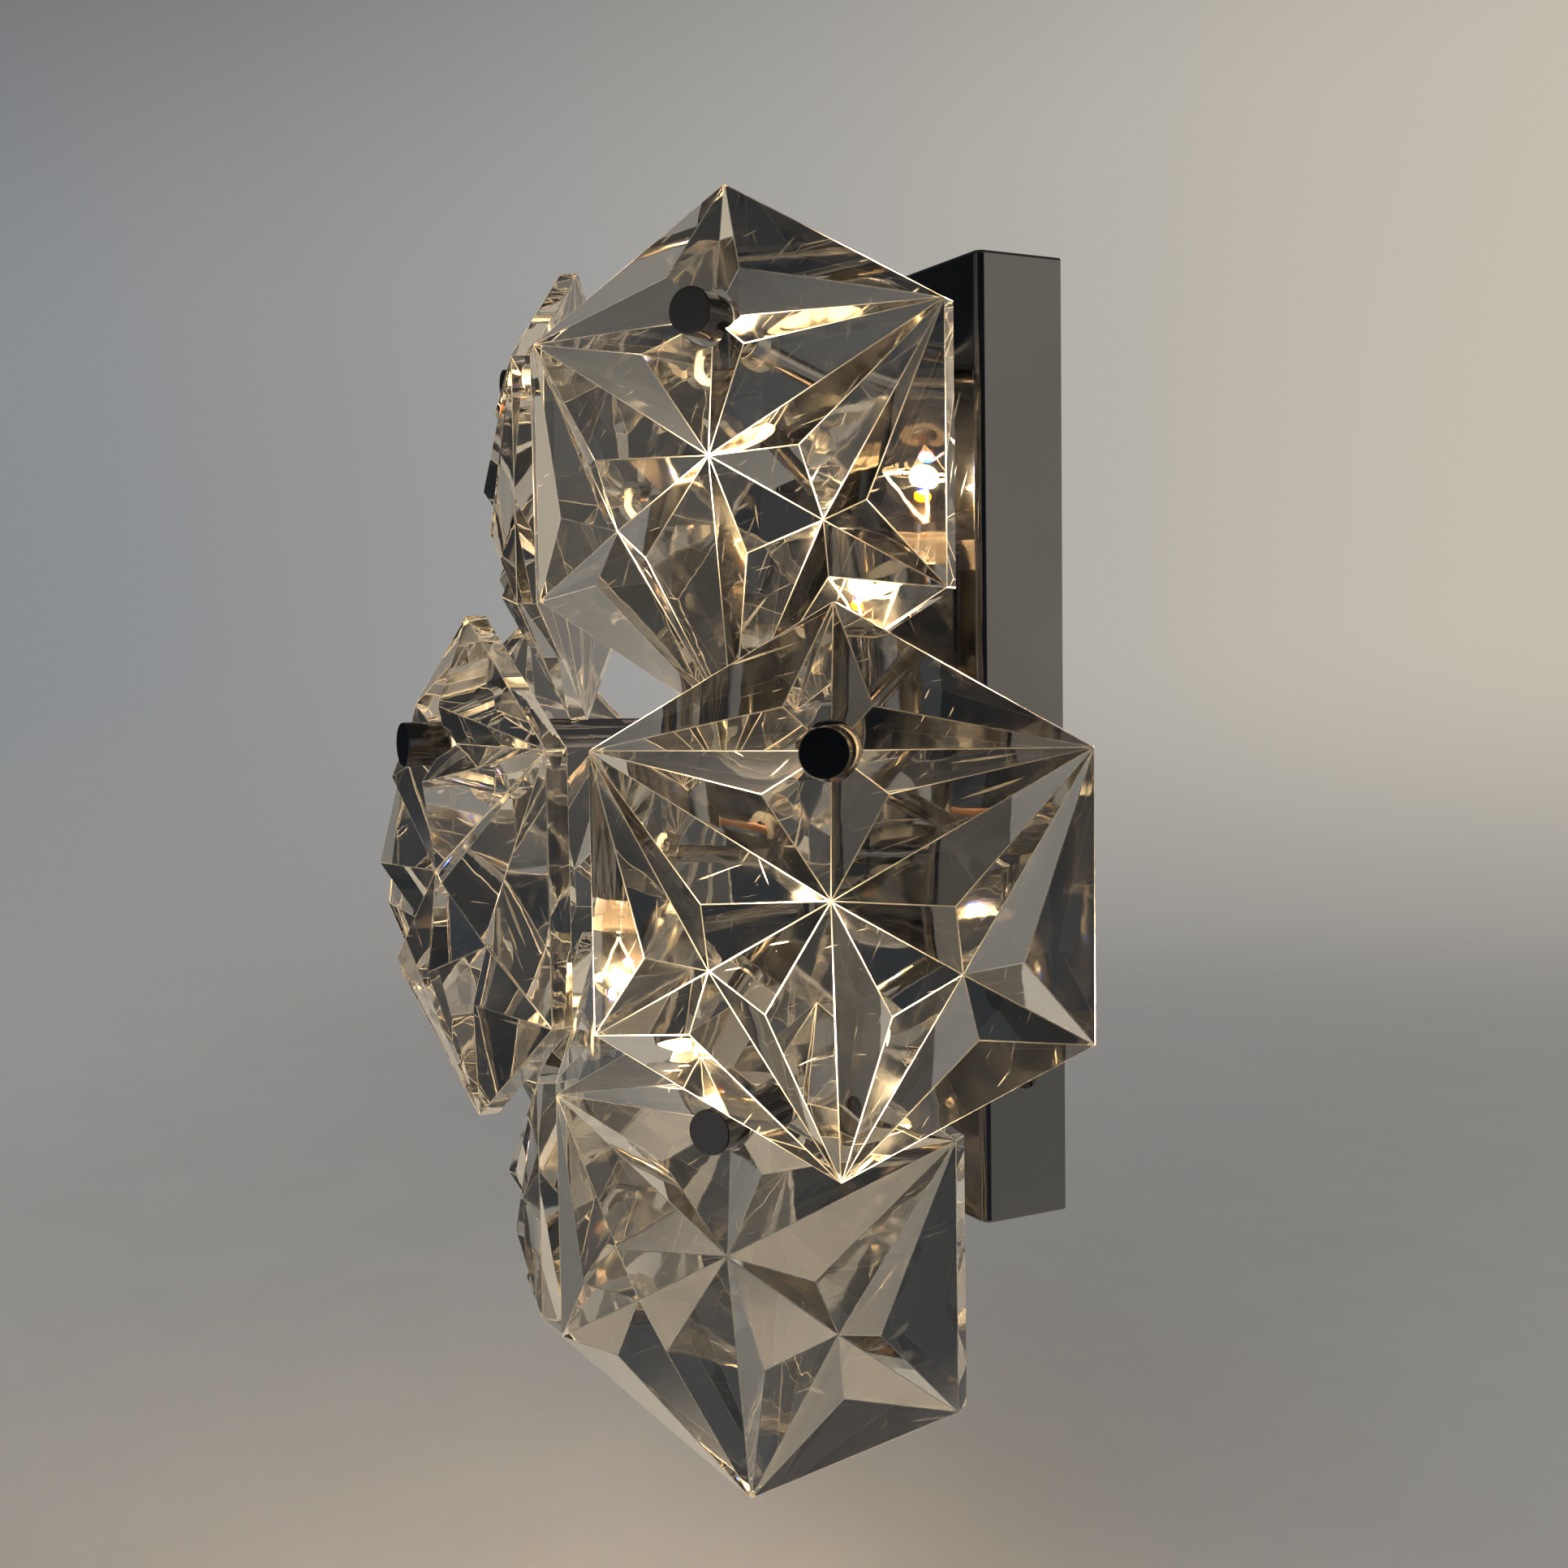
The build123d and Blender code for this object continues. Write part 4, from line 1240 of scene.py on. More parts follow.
@dataclass
class CrystalSet:
    """The seven alike hexagonal plates of pressed crystal, in millimetres.

    Attributes:
        trees: The geometry node trees.
        radius: From the centre to a corner.
        rim: Thickness of the rim.
        centre_rise: Height of the centre over the rim's front.
        junction: Radius and height of the three inner junctions.
        inner_peak: Radius, angle and height of an inner cell's peak.
        outer_peak: Radius, angle and height of an outer cell's peak.
        ease: Width of the rounding on the facets' edges.
        bore: Radius of the bore for the stud.
        seat: Radius of the cap nut's flat seat, and its height over the rim's front.
        merge: Distance under which the sixths' corners are one.
    """

    trees: Trees
    radius: float = 60.0
    rim: float = 4.9
    centre_rise: float = 9.1
    junction: tuple[float, float] = (30.0, 5.75)
    inner_peak: tuple[float, float, float] = (25.32, 120.0, 15.5)
    outer_peak: tuple[float, float, float] = (40.02, 103.0, 10.2)
    ease: float = 0.17
    bore: float = 3.25
    seat: tuple[float, float] = (6.3, 4.5)
    merge: float = 0.001

    @staticmethod
    def polar(radius: float, angle: float, rise: float) -> tuple[float, float, float]:
        """Point of the plate's front at an angle in degrees."""
        a = math.radians(angle)
        return (radius * math.cos(a), radius * math.sin(a), rise)

    def sixth(self) -> bpy.types.Mesh:
        """Mesh of one sixth: two cells of three facets, with the rim and the back behind them.

        Returns:
            The mesh, in millimetres.
        """
        points = [
            (0, 0, self.centre_rise),
            self.polar(self.junction[0], 90, self.junction[1]),
            self.polar(self.radius, 90, 0),
            self.polar(self.radius, 150, 0),
            self.polar(*self.inner_peak),
            self.polar(*self.outer_peak),
            self.polar(self.radius, 90, -self.rim),
            self.polar(self.radius, 150, -self.rim),
            (0, 0, -self.rim),
        ]
        centre, junction, top, left, inner, outer, top_back, left_back, middle_back = range(9)
        faces = [
            (junction, left, inner),
            (left, centre, inner),
            (centre, junction, inner),
            (junction, top, outer),
            (top, left, outer),
            (left, junction, outer),
            (top, top_back, left_back, left),
            (middle_back, left_back, top_back),
        ]
        mesh = bpy.data.meshes.new("crystal_sixth")
        mesh.from_pydata(points, [], faces)
        return mesh

    def plate(self) -> bpy.types.Mesh:
        """The whole plate with its edges eased, its bore and its seat.

        Returns:
            The mesh, in millimetres, centred on the hexagon.
        """
        glass = CRYSTAL.material()
        whole = self.trees.fan.run("crystal_whole", self.sixth(), Turns=3, Merge=self.merge, Finish=glass)
        bm = bmesh.new()
        bm.from_mesh(whole)
        bmesh.ops.recalc_face_normals(bm, faces=bm.faces)
        bmesh.ops.dissolve_limit(bm, angle_limit=math.radians(0.3), verts=bm.verts, edges=bm.edges)
        arris = bm.faces.layers.float.new("arris")
        rounding = bmesh.ops.bevel(
            bm, geom=list(bm.edges), offset=self.ease, segments=2, profile=0.5, affect="EDGES", clamp_overlap=True
        )
        for face in rounding["faces"]:
            face[arris] = 1.0
        eased = to_mesh(bm, "crystal_eased")
        return self.trees.pocket.run(
            "crystal_plate",
            eased,
            Bore_Radius=self.bore,
            Seat_Radius=self.seat[0],
            Seat_Rise=self.seat[1],
            Offset=self.junction[0],
            Finish=glass,
        )

    def build(self) -> list[bpy.types.Object]:
        """Hang the seven plates.

        Returns:
            The pieces.
        """
        plate = self.plate()
        drop = Matrix.Translation((0, -self.junction[0], 0))
        made = []
        for seat in SEATS:
            node = "crystal_" + seat.place
            made.append(
                BENCH.piece(
                    node + "_dressed", plate.copy(), CRYSTAL, node, [node], seat.matrix() @ drop
                )
            )
        return made


@dataclass
class Hangers:
    """Rods with threaded studs, their collars, the clear bushes and the cap nuts, in millimetres.

    Attributes:
        trees: The geometry node trees.
        rod_radius: Radius of a rod.
        rod_root: Where a rod starts, from the rods' common axis.
        shoulder: Where the rod steps down to its stud, from the rim plane.
        stud_tip: Where the stud ends, from the rim plane.
        stud_radius: Radius over the stud's thread.
        pitch: Pitch of that thread.
        ridge: Height of that thread over the stud's core.
        clearance: Room round the stud in what it passes.
        nut: Radius, bottom and top of a cap nut.
        blind: Depth of a cap nut's bore.
        collar: Radius, bottom and top of a collar.
        sleeve: Radius and top of a bush's sleeve; its bottom is the collar's top.
        flange: Radius and top of a bush's flange.
    """

    trees: Trees
    rod_radius: float = 2.5
    rod_root: float = 7.5
    shoulder: float = -8.2
    stud_tip: float = 12.9
    stud_radius: float = 2.0
    pitch: float = 0.7
    ridge: float = 0.28
    clearance: float = 0.05
    nut: tuple[float, float, float] = (5.15, 5.9, 16.2)
    blind: float = 8.0
    collar: tuple[float, float, float] = (5.0, -8.2, -5.2)
    sleeve: tuple[float, float] = (3.15, 4.8)
    flange: tuple[float, float] = (4.8, 5.6)

    @property
    def bore(self) -> float:
        """Radius of the holes that the stud passes."""
        return self.stud_radius + self.clearance

    def rod(self, seat: Seat) -> bpy.types.Mesh:
        """One rod with its threaded stud.

        Args:
            seat: The rod's seat.

        Returns:
            The mesh, in the seat's millimetres.
        """
        core = self.stud_radius - self.ridge
        root = self.rod_root - seat.reach
        profile = [
            (0, root),
            (self.rod_radius, root),
            (self.rod_radius, self.shoulder),
            (core, self.shoulder),
            (core, self.stud_tip),
            (0, self.stud_tip),
        ]
        bar = to_mesh(revolved(rounded(profile, 0.3), 40), "rod_bar")
        thread = self.trees.thread.run(
            "stud_thread",
            bpy.data.meshes.new("thread_source"),
            Radius=core,
            Pitch=self.pitch,
            Turns=(self.stud_tip - self.shoulder - 1.0) / self.pitch,
            Ridge=self.ridge,
            Start=self.shoulder + 0.4,
            Finish=CHROME.material(),
        )
        return joined([bar, thread], "support_rod")

    def cap_nut(self) -> bpy.types.Mesh:
        """One cap nut: a turned barrel with an eased rim and a blind bore.

        Returns:
            The mesh, in the seat's millimetres.
        """
        radius, bottom, top = self.nut
        end = bottom + self.blind
        outline = [(0.01, end), (self.bore, end), (self.bore, bottom), (radius, bottom), (radius, top), (0, top)]
        profile = [(0, end)] + rounded(outline, 0.35, 5)
        return to_mesh(revolved(profile, 72), "cap_nut")

    def repeated(self, profile: Profile, finish: Finish, name: str) -> bpy.types.Mesh:
        """Repeat a closed round profile at every seat.

        Args:
            profile: Its points, from the rim plane.
            finish: Its finish.
            name: The mesh's name.

        Returns:
            The mesh of all seven, in metres.
        """
        part = new_object(name + "_part", to_mesh(revolved(profile, 56, closed=True), name + "_part"))
        spots = []
        for seat in SEATS:
            matrix = seat.matrix()
            spots.append((matrix.translation / MM, matrix.col[2].xyz.normalized()))
        mesh = self.trees.rings.run(name, point_mesh(spots, name + "_spots"), Part=part, Finish=finish.material())
        bpy.data.objects.remove(part)
        return mesh

    def build(self) -> list[bpy.types.Object]:
        """Set the rods, collars, bushes and cap nuts.

        Returns:
            The pieces.
        """
        made = []
        nut = self.cap_nut()
        for seat in SEATS:
            node = "support_rod_" + seat.place
            made.append(
                BENCH.piece(node + "_dressed", self.rod(seat), CHROME, FIXTURE, [node], seat.matrix())
            )
            node = "cap_nut_" + seat.place
            made.append(
                BENCH.piece(node + "_dressed", nut.copy(), SHADE_DARKENED_NUT_CHROME, node, [node], seat.matrix())
            )
        bore = self.bore
        width, foot, top = self.collar
        collar = rounded([(bore, foot), (width, foot), (width, top), (bore, top)], 0.4, 4, closed=True)
        collars = self.repeated(collar, CHROME, "collars")
        made.append(BENCH.piece("rod_collars_dressed", collars, CHROME, FIXTURE, ["rod_collars"]))
        sleeve, step = self.sleeve
        flange, end = self.flange
        corners = [(bore, top), (sleeve, top), (sleeve, step), (flange, step), (flange, end), (bore, end)]
        bushes = self.repeated(rounded(corners, 0.15, 3, closed=True), CLEAR_PLASTIC, "bushes")
        made.append(
            BENCH.piece(
                "crystal_bushes_dressed", bushes, CLEAR_PLASTIC, FIXTURE, ["crystal_bushes"]
            )
        )
        return made


# ---------------------------------------------------------------- screws


@dataclass
class ScrewSet:
    """Slotted screws of one size, in millimetres.

    Attributes:
        trees: The geometry node trees.
        name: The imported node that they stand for.
        head: Radius and height of the head; no height leaves a headless screw.
        shank: Radius and length of the shank.
        pitch: Pitch of its thread.
        slot: Width and depth of the slot.
        spots: Where the heads sit, and which way they face.
    """

    trees: Trees
    name: str
    head: tuple[float, float]
    shank: tuple[float, float]
    pitch: float
    slot: tuple[float, float]
    spots: Sequence[tuple[Sequence[float], Sequence[float]]]

    def mesh(self, finish: Finish) -> bpy.types.Mesh:
        """All the screws of the set.

        Args:
            finish: Their finish.

        Returns:
            The mesh, in metres.
        """
        radius, height = self.head
        shank_radius, length = self.shank
        core = shank_radius - 0.35 * self.pitch
        if height:
            crown = [(radius, 0.0), (radius, 0.55 * height), (0.62 * radius, height), (0.0, height)]
        else:
            crown = [(0.0, 0.0)]
        profile = [(0.0, -length), (core, -length), (core, 0.0), *crown]
        body = to_mesh(revolved(rounded(profile, 0.3, 4), 48), self.name + "_body")
        screw = new_object(self.name + "_screw", body)
        heads = self.trees.screws.run(
            self.name + "_heads",
            point_mesh(self.spots, self.name + "_spots"),
            Screw=screw,
            Slot_Width=self.slot[0],
            Slot_Depth=self.slot[1],
            Slot_Top=height,
            Seed=len(self.name),
            Finish=finish.material(),
        )
        bpy.data.objects.remove(screw)
        if length < 3 * self.pitch:
            return heads
        ridge = new_object(
            self.name + "_ridge",
            self.trees.thread.run(
                self.name + "_thread",
                bpy.data.meshes.new("thread_source"),
                Radius=core,
                Pitch=self.pitch,
                Turns=(length - 1.2) / self.pitch,
                Ridge=shank_radius - core,
                Start=-length + 0.5,
                Finish=finish.material(),
            ),
        )
        threads = self.trees.rings.run(
            self.name + "_threads",
            point_mesh(self.spots, self.name + "_thread_spots"),
            Part=ridge,
            Finish=finish.material(),
        )
        bpy.data.objects.remove(ridge)
        return joined([heads, threads], self.name + "_all")


# ---------------------------------------------------------------- cover and hubs


@dataclass
class CoverAssembly:
    """The folded chrome cover, its side screws, the hubs and what holds them, in millimetres.

    Attributes:
        trees: The geometry node trees.
        half_width: Half of the cover's width.
        side_screw: Depth and height at which a side screw sits.
        inner_face: Depth of the cover's inner face, where the hub screws' heads sit.
    """

    trees: Trees
    half_width: float = 40.0
    side_screw: tuple[float, float] = (-12.5, -85.0)
    inner_face: float = -23.0

    def build(self) -> list[bpy.types.Object]:
        """Set the cover, the hubs, and their screws and washers.

        Returns:
            The pieces.
        """
        made = [BENCH.eased_node("cover", SHADE_DARKENED_SHEET_CHROME, bevel=0.18)]
        for tier in Tier:
            made.append(BENCH.eased_node("hub_" + tier.value, CHROME, bevel=0.12))
        made.append(BENCH.eased_node("hub_washers", ZINC, bevel=0.12))
        hub_spots = [((0, self.inner_face, height), (0, 1, 0)) for height in TIER_HEIGHT.values()]
        hub_screws = ScrewSet(self.trees, "hub_screws", (3.8, 2.6), (1.98, 8.5), 0.7, (1.0, 1.2), hub_spots)
        made.append(
            BENCH.piece("hub_screws_dressed", hub_screws.mesh(ZINC), ZINC, FIXTURE, ["hub_screws"])
        )
        side_spots = [((side * self.half_width, *self.side_screw), (side, 0, 0)) for side in (-1, 1)]
        cover_screws = ScrewSet(self.trees, "cover_screws", (2.9, 1.8), (1.45, 6.0), 0.5, (0.8, 0.9), side_spots)
        screws = cover_screws.mesh(DARK_STEEL)
        made.append(
            BENCH.piece("cover_screws_dressed", screws, DARK_STEEL, FIXTURE, ["cover_screws"])
        )
        return made


# ---------------------------------------------------------------- wall bracket and wiring


@dataclass
class WallSide:
    """What the cover hides: the wall bracket, the terminal block, the leads and the grommets.

    Attributes:
        trees: The geometry node trees.
        clamp_columns: Where the terminal clamps stand across, in millimetres.
        clamp_rows: The heights of their screws.
        clamp_face: Depth of the clamp screws' tops.
        earth_spot: Where the earth screw's head sits.
        tab_spot: Where the head of the terminal block's screw sits.
    """

    trees: Trees
    clamp_columns: tuple[float, ...] = (-8.0, 0.0, 8.0)
    clamp_rows: tuple[float, ...] = (-32.0, -42.0)
    clamp_face: float = -13.9
    earth_spot: tuple[float, float, float] = (-15.0, -2.1, -12.0)
    tab_spot: tuple[float, float, float] = (0.0, -4.5, -52.0)

    def build(self) -> list[bpy.types.Object]:
        """Set the wall side's pieces.

        Returns:
            The pieces.
        """
        made = [
            BENCH.eased_node("wall_bracket", BRACKET_STEEL, bevel=0.2),
            BENCH.eased_node("cable_grommet", RUBBER, bevel=0.15),
            BENCH.eased_node("lead_grommets", RUBBER, bevel=0.2),
            BENCH.eased_node("terminal_block", WHITE_NYLON, bevel=0.25),
            BENCH.eased_node("terminal_clamps", BRASS, bevel=0.12),
            BENCH.eased_node("earth_lug", BRASS, bevel=0.08),
            BENCH.eased_node("live_leads", BROWN_CORE),
            BENCH.eased_node("neutral_leads", BLUE_CORE),
            BENCH.eased_node("earth_lead", EARTH_CORE),
        ]
        front = (0, -1, 0)
        clamps = [((x, self.clamp_face, z), front) for x in self.clamp_columns for z in self.clamp_rows]
        grubs = ScrewSet(self.trees, "terminal_screws", (1.5, 0.0), (1.5, 4.2), 0.5, (0.6, 0.8), clamps)
        screws = grubs.mesh(ZINC)
        made.append(
            BENCH.piece("terminal_screws_dressed", screws, ZINC, FIXTURE, ["terminal_screws"])
        )
        slot = (0.9, 1.0)
        earth = ScrewSet(
            self.trees, "earth_screw", (3.8, 2.6), (1.98, 2.1), 0.7, slot, [(self.earth_spot, front)]
        )
        tab = ScrewSet(self.trees, "tab_screw", (2.9, 2.6), (1.5, 4.4), 0.5, slot, [(self.tab_spot, front)])
        both = joined([earth.mesh(ZINC), tab.mesh(ZINC)], "bracket_screws_all")
        made.append(BENCH.piece("bracket_screws_dressed", both, ZINC, FIXTURE, ["bracket_screws"]))
        return made


# ---------------------------------------------------------------- lampholders and bulbs


@dataclass
class Lampholders:
    """The bracket with the two lampholders, in millimetres.

    Attributes:
        trees: The geometry node trees.
        shell: Outer and inner radius, bottom and top of the threaded shell.
        steps: Divisions of the shell's height.
    """

    trees: Trees
    shell: tuple[float, float, float, float] = (7.9, 7.5, 10.0, 26.5)
    steps: int = 60

    def shells(self) -> bpy.types.Mesh:
        """Both threaded shells.

        Returns:
            The mesh, in metres.
        """
        outer, inner, bottom, top = self.shell
        rise = [bottom + (top - bottom) * i / self.steps for i in range(self.steps + 1)]
        profile = [(outer, z) for z in rise] + [(inner, z) for z in reversed(rise)]
        meshes = []
        for level in Level:
            plain = to_mesh(revolved(profile, 72, closed=True), "shell_plain")
            mesh = self.trees.rolled.run(
                "shell_" + level.label,
                plain,
                Pitch=SCREW_CAP_PITCH,
                Depth=0.45,
                Start=bottom + 0.5,
                End=top - 0.5,
                Finish=BRASS.material(),
            )
            mesh.transform(lamp_matrix(level))
            meshes.append(mesh)
        return joined(meshes, "holder_shells")

    def build(self) -> list[bpy.types.Object]:
        """Set the bracket and the lampholders.

        Returns:
            The pieces.
        """
        made = [
            BENCH.eased_node("lampholder_bracket", CHROME, bevel=0.2),
            BENCH.eased_node("holder_nipples", ZINC, bevel=0.15),
            BENCH.eased_node("nipple_nuts", ZINC, bevel=0.3),
            BENCH.eased_node("holder_contacts", BRASS, bevel=0.08),
            BENCH.piece("holder_shells_dressed", self.shells(), BRASS, FIXTURE, ["holder_shells"]),
        ]
        for level in Level:
            body = "holder_body_" + level.label
            sleeve = "holder_sleeve_" + level.label
            made.append(BENCH.eased_node(body, IVORY, bevel=0.3))
            made.append(BENCH.eased_node(sleeve, CHROME, bevel=0.15))
        return made


@dataclass
class Bulb:
    """A round clear bulb with a screw cap, in millimetres from its foot.

    Attributes:
        trees: The geometry node trees.
        level: Which lampholder it is in.
        globe: Radius of the globe and height of its centre.
        neck: Radius of the neck and height where it flares.
        join: Angle from straight down where the flare meets the globe, in degrees.
        wall: Thickness of the glass.
        cap: Radius, bottom and top of the cap.
        steps: Divisions of the cap's height.
        coil: Radii of the filament's ring, of its coil and of its wire.
        coil_turns: Turns of the coil.
        sweep: The filament's arc, in degrees.
        turn: Where that arc starts, in degrees.
        pinch: Height where the filament's two carrying wires leave the stem.
        carrier: Radius of those wires.
    """

    trees: Trees
    level: Level
    globe: tuple[float, float] = (22.5, GLOBE_CENTRE)
    neck: tuple[float, float] = (6.4, 24.0)
    join: float = 48.0
    wall: float = 0.8
    cap: tuple[float, float, float] = (6.95, 4.0, 20.0)
    steps: int = 60
    coil: tuple[float, float, float] = (8.0, 0.28, 0.11)
    coil_turns: float = 52.0
    sweep: float = 250.0
    turn: float = -80.0
    pinch: float = 36.0
    carrier: float = 0.26

    @property
    def matrix(self) -> Matrix:
        """The foot's frame."""
        return lamp_matrix(self.level) @ Matrix.Translation((0, 0, BULB_SEAT))

    def outline(self, shrink: float) -> list[tuple[float, float]]:
        """Half outline of the glass from the neck's end to the tip.

        Args:
            shrink: How far it is drawn inside the true outline.

        Returns:
            The points.
        """
        radius, centre = self.globe[0] - shrink, self.globe[1]
        neck = self.neck[0] - shrink
        a = math.radians(self.join)
        meet = Vector((radius * math.sin(a), centre - radius * math.cos(a)))
        start = Vector((neck, self.neck[1]))
        side = Vector((1.0, -0.35)).normalized()
        span = meet - start
        bow = span.length_squared / (2 * side.dot(span))
        hub = start + side * bow
        first = math.atan2(start.y - hub.y, start.x - hub.x)
        last = math.atan2(meet.y - hub.y, meet.x - hub.x)
        if last - first > math.pi:
            last -= FULL_TURN
        if first - last > math.pi:
            last += FULL_TURN
        steps = 10
        points = [(neck, self.cap[2] - 2.0), (neck, 0.5 * (self.cap[2] - 2.0 + self.neck[1]))]
        for i in range(steps + 1):
            angle = first + (last - first) * i / steps
            points.append((hub.x + abs(bow) * math.cos(angle), hub.y + abs(bow) * math.sin(angle)))
        rounds = 34
        for i in range(1, rounds + 1):
            angle = a + (math.pi - a) * i / rounds
            points.append((radius * math.sin(angle) if i < rounds else 0.0, centre - radius * math.cos(angle)))
        return points

    def glass(self) -> bpy.types.Mesh:
        """The blown envelope, closed over its neck.

        Returns:
            The mesh, in the bulb's millimetres.
        """
        outer = self.outline(0.0)
        inner = self.outline(self.wall)
        foot = [(0.0, self.cap[2] - 2.0)]
        skin = revolved(foot + outer, 96)
        hollow = revolved([(0.0, self.cap[2] - 1.2)] + inner[1:], 96)
        for face in hollow.faces:
            face.normal_flip()
        meshes = [to_mesh(skin, "glass_skin"), to_mesh(hollow, "glass_hollow")]
        return joined(meshes, "bulb_glass")

    def cap_shell(self) -> bpy.types.Mesh:
        """The screw cap with its rolled thread.

        Returns:
            The mesh, in the bulb's millimetres.
        """
        radius, bottom, top = self.cap
        rise = [bottom + (top - 1 - bottom) * i / self.steps for i in range(self.steps + 1)]
        lip = [(radius + 0.3, top - 0.4), (radius + 0.5, top), (radius + 0.5, top + 1.5)]
        outer = [(radius, z) for z in rise] + lip
        inner = [(self.neck[0] + 0.02, top + 1.5), (self.neck[0] + 0.02, top - 1)]
        inside = [(radius - 0.3, z) for z in reversed(rise)]
        plain = to_mesh(revolved(outer + inner + inside, 96, closed=True), "cap_plain")
        return self.trees.rolled.run(
            "bulb_cap",
            plain,
            Pitch=SCREW_CAP_PITCH,
            Depth=0.5,
            Start=bottom + 0.6,
            End=top - 1.2,
            Finish=NICKEL.material(),
        )

    def filament(self) -> bpy.types.Mesh:
        """The coiled filament and the wires that carry it.

        Returns:
            The mesh, in the bulb's millimetres.
        """
        sweep, turn = math.radians(self.sweep), math.radians(self.turn)
        ring, winding, wire = self.coil
        height = self.globe[1]
        coil = self.trees.coil.run(
            "filament_coil",
            bpy.data.meshes.new("coil_source"),
            Ring_Radius=ring,
            Coil_Radius=winding,
            Wire_Radius=wire,
            Turns=self.coil_turns,
            Sweep=sweep,
            Turn_To=turn,
            Height=height,
            Finish=GLOW.material(),
        )
        bm = bmesh.new()
        bm.from_mesh(coil)
        for share in (0.0, 1.0):
            end = turn + sweep * share
            tip = Vector((ring * math.cos(end), ring * math.sin(end), height))
            wire_between(bm, Vector((0, 0, self.pinch)), tip, self.carrier)
        return to_mesh(bm, "bulb_filament")

    def build(self) -> list[bpy.types.Object]:
        """Set the bulb.

        Returns:
            The pieces.
        """
        label, body = self.level.label, "bulb_" + self.level.label
        rows = (
            ("glass", self.glass(), BLOWN_GLASS, "bulb_glass"),
            ("cap", self.cap_shell(), NICKEL, "nickel_cap"),
            ("filament", self.filament(), GLOW, "filament"),
        )
        made = []
        for part, mesh, finish, slot in rows:
            node = f"bulb_{part}_{label}"
            made.append(BENCH.piece(node + "_dressed", mesh, finish, body, [node], self.matrix))
        made.append(BENCH.eased_node("bulb_stem_" + label, STEM_GLASS, body, 0.2))
        made.append(BENCH.eased_node("bulb_base_" + label, BLACK_GLASS, body, 0.15))
        return made


def wire_between(bm: bmesh.types.BMesh, start: Vector, end: Vector, radius: float, sides: int = 8) -> None:
    """Add a straight closed wire to a bmesh.

    Args:
        bm: Where it is added.
        start: One end.
        end: The other end.
        radius: The wire's radius.
        sides: Its sides.
    """
    way = end - start
    place = Matrix.Translation((start + end) / 2) @ way.to_track_quat("Z", "Y").to_matrix().to_4x4()
    bmesh.ops.create_cone(
        bm, cap_ends=True, segments=sides, radius1=radius, radius2=radius, depth=way.length, matrix=place
    )


# ---------------------------------------------------------------- studio and camera


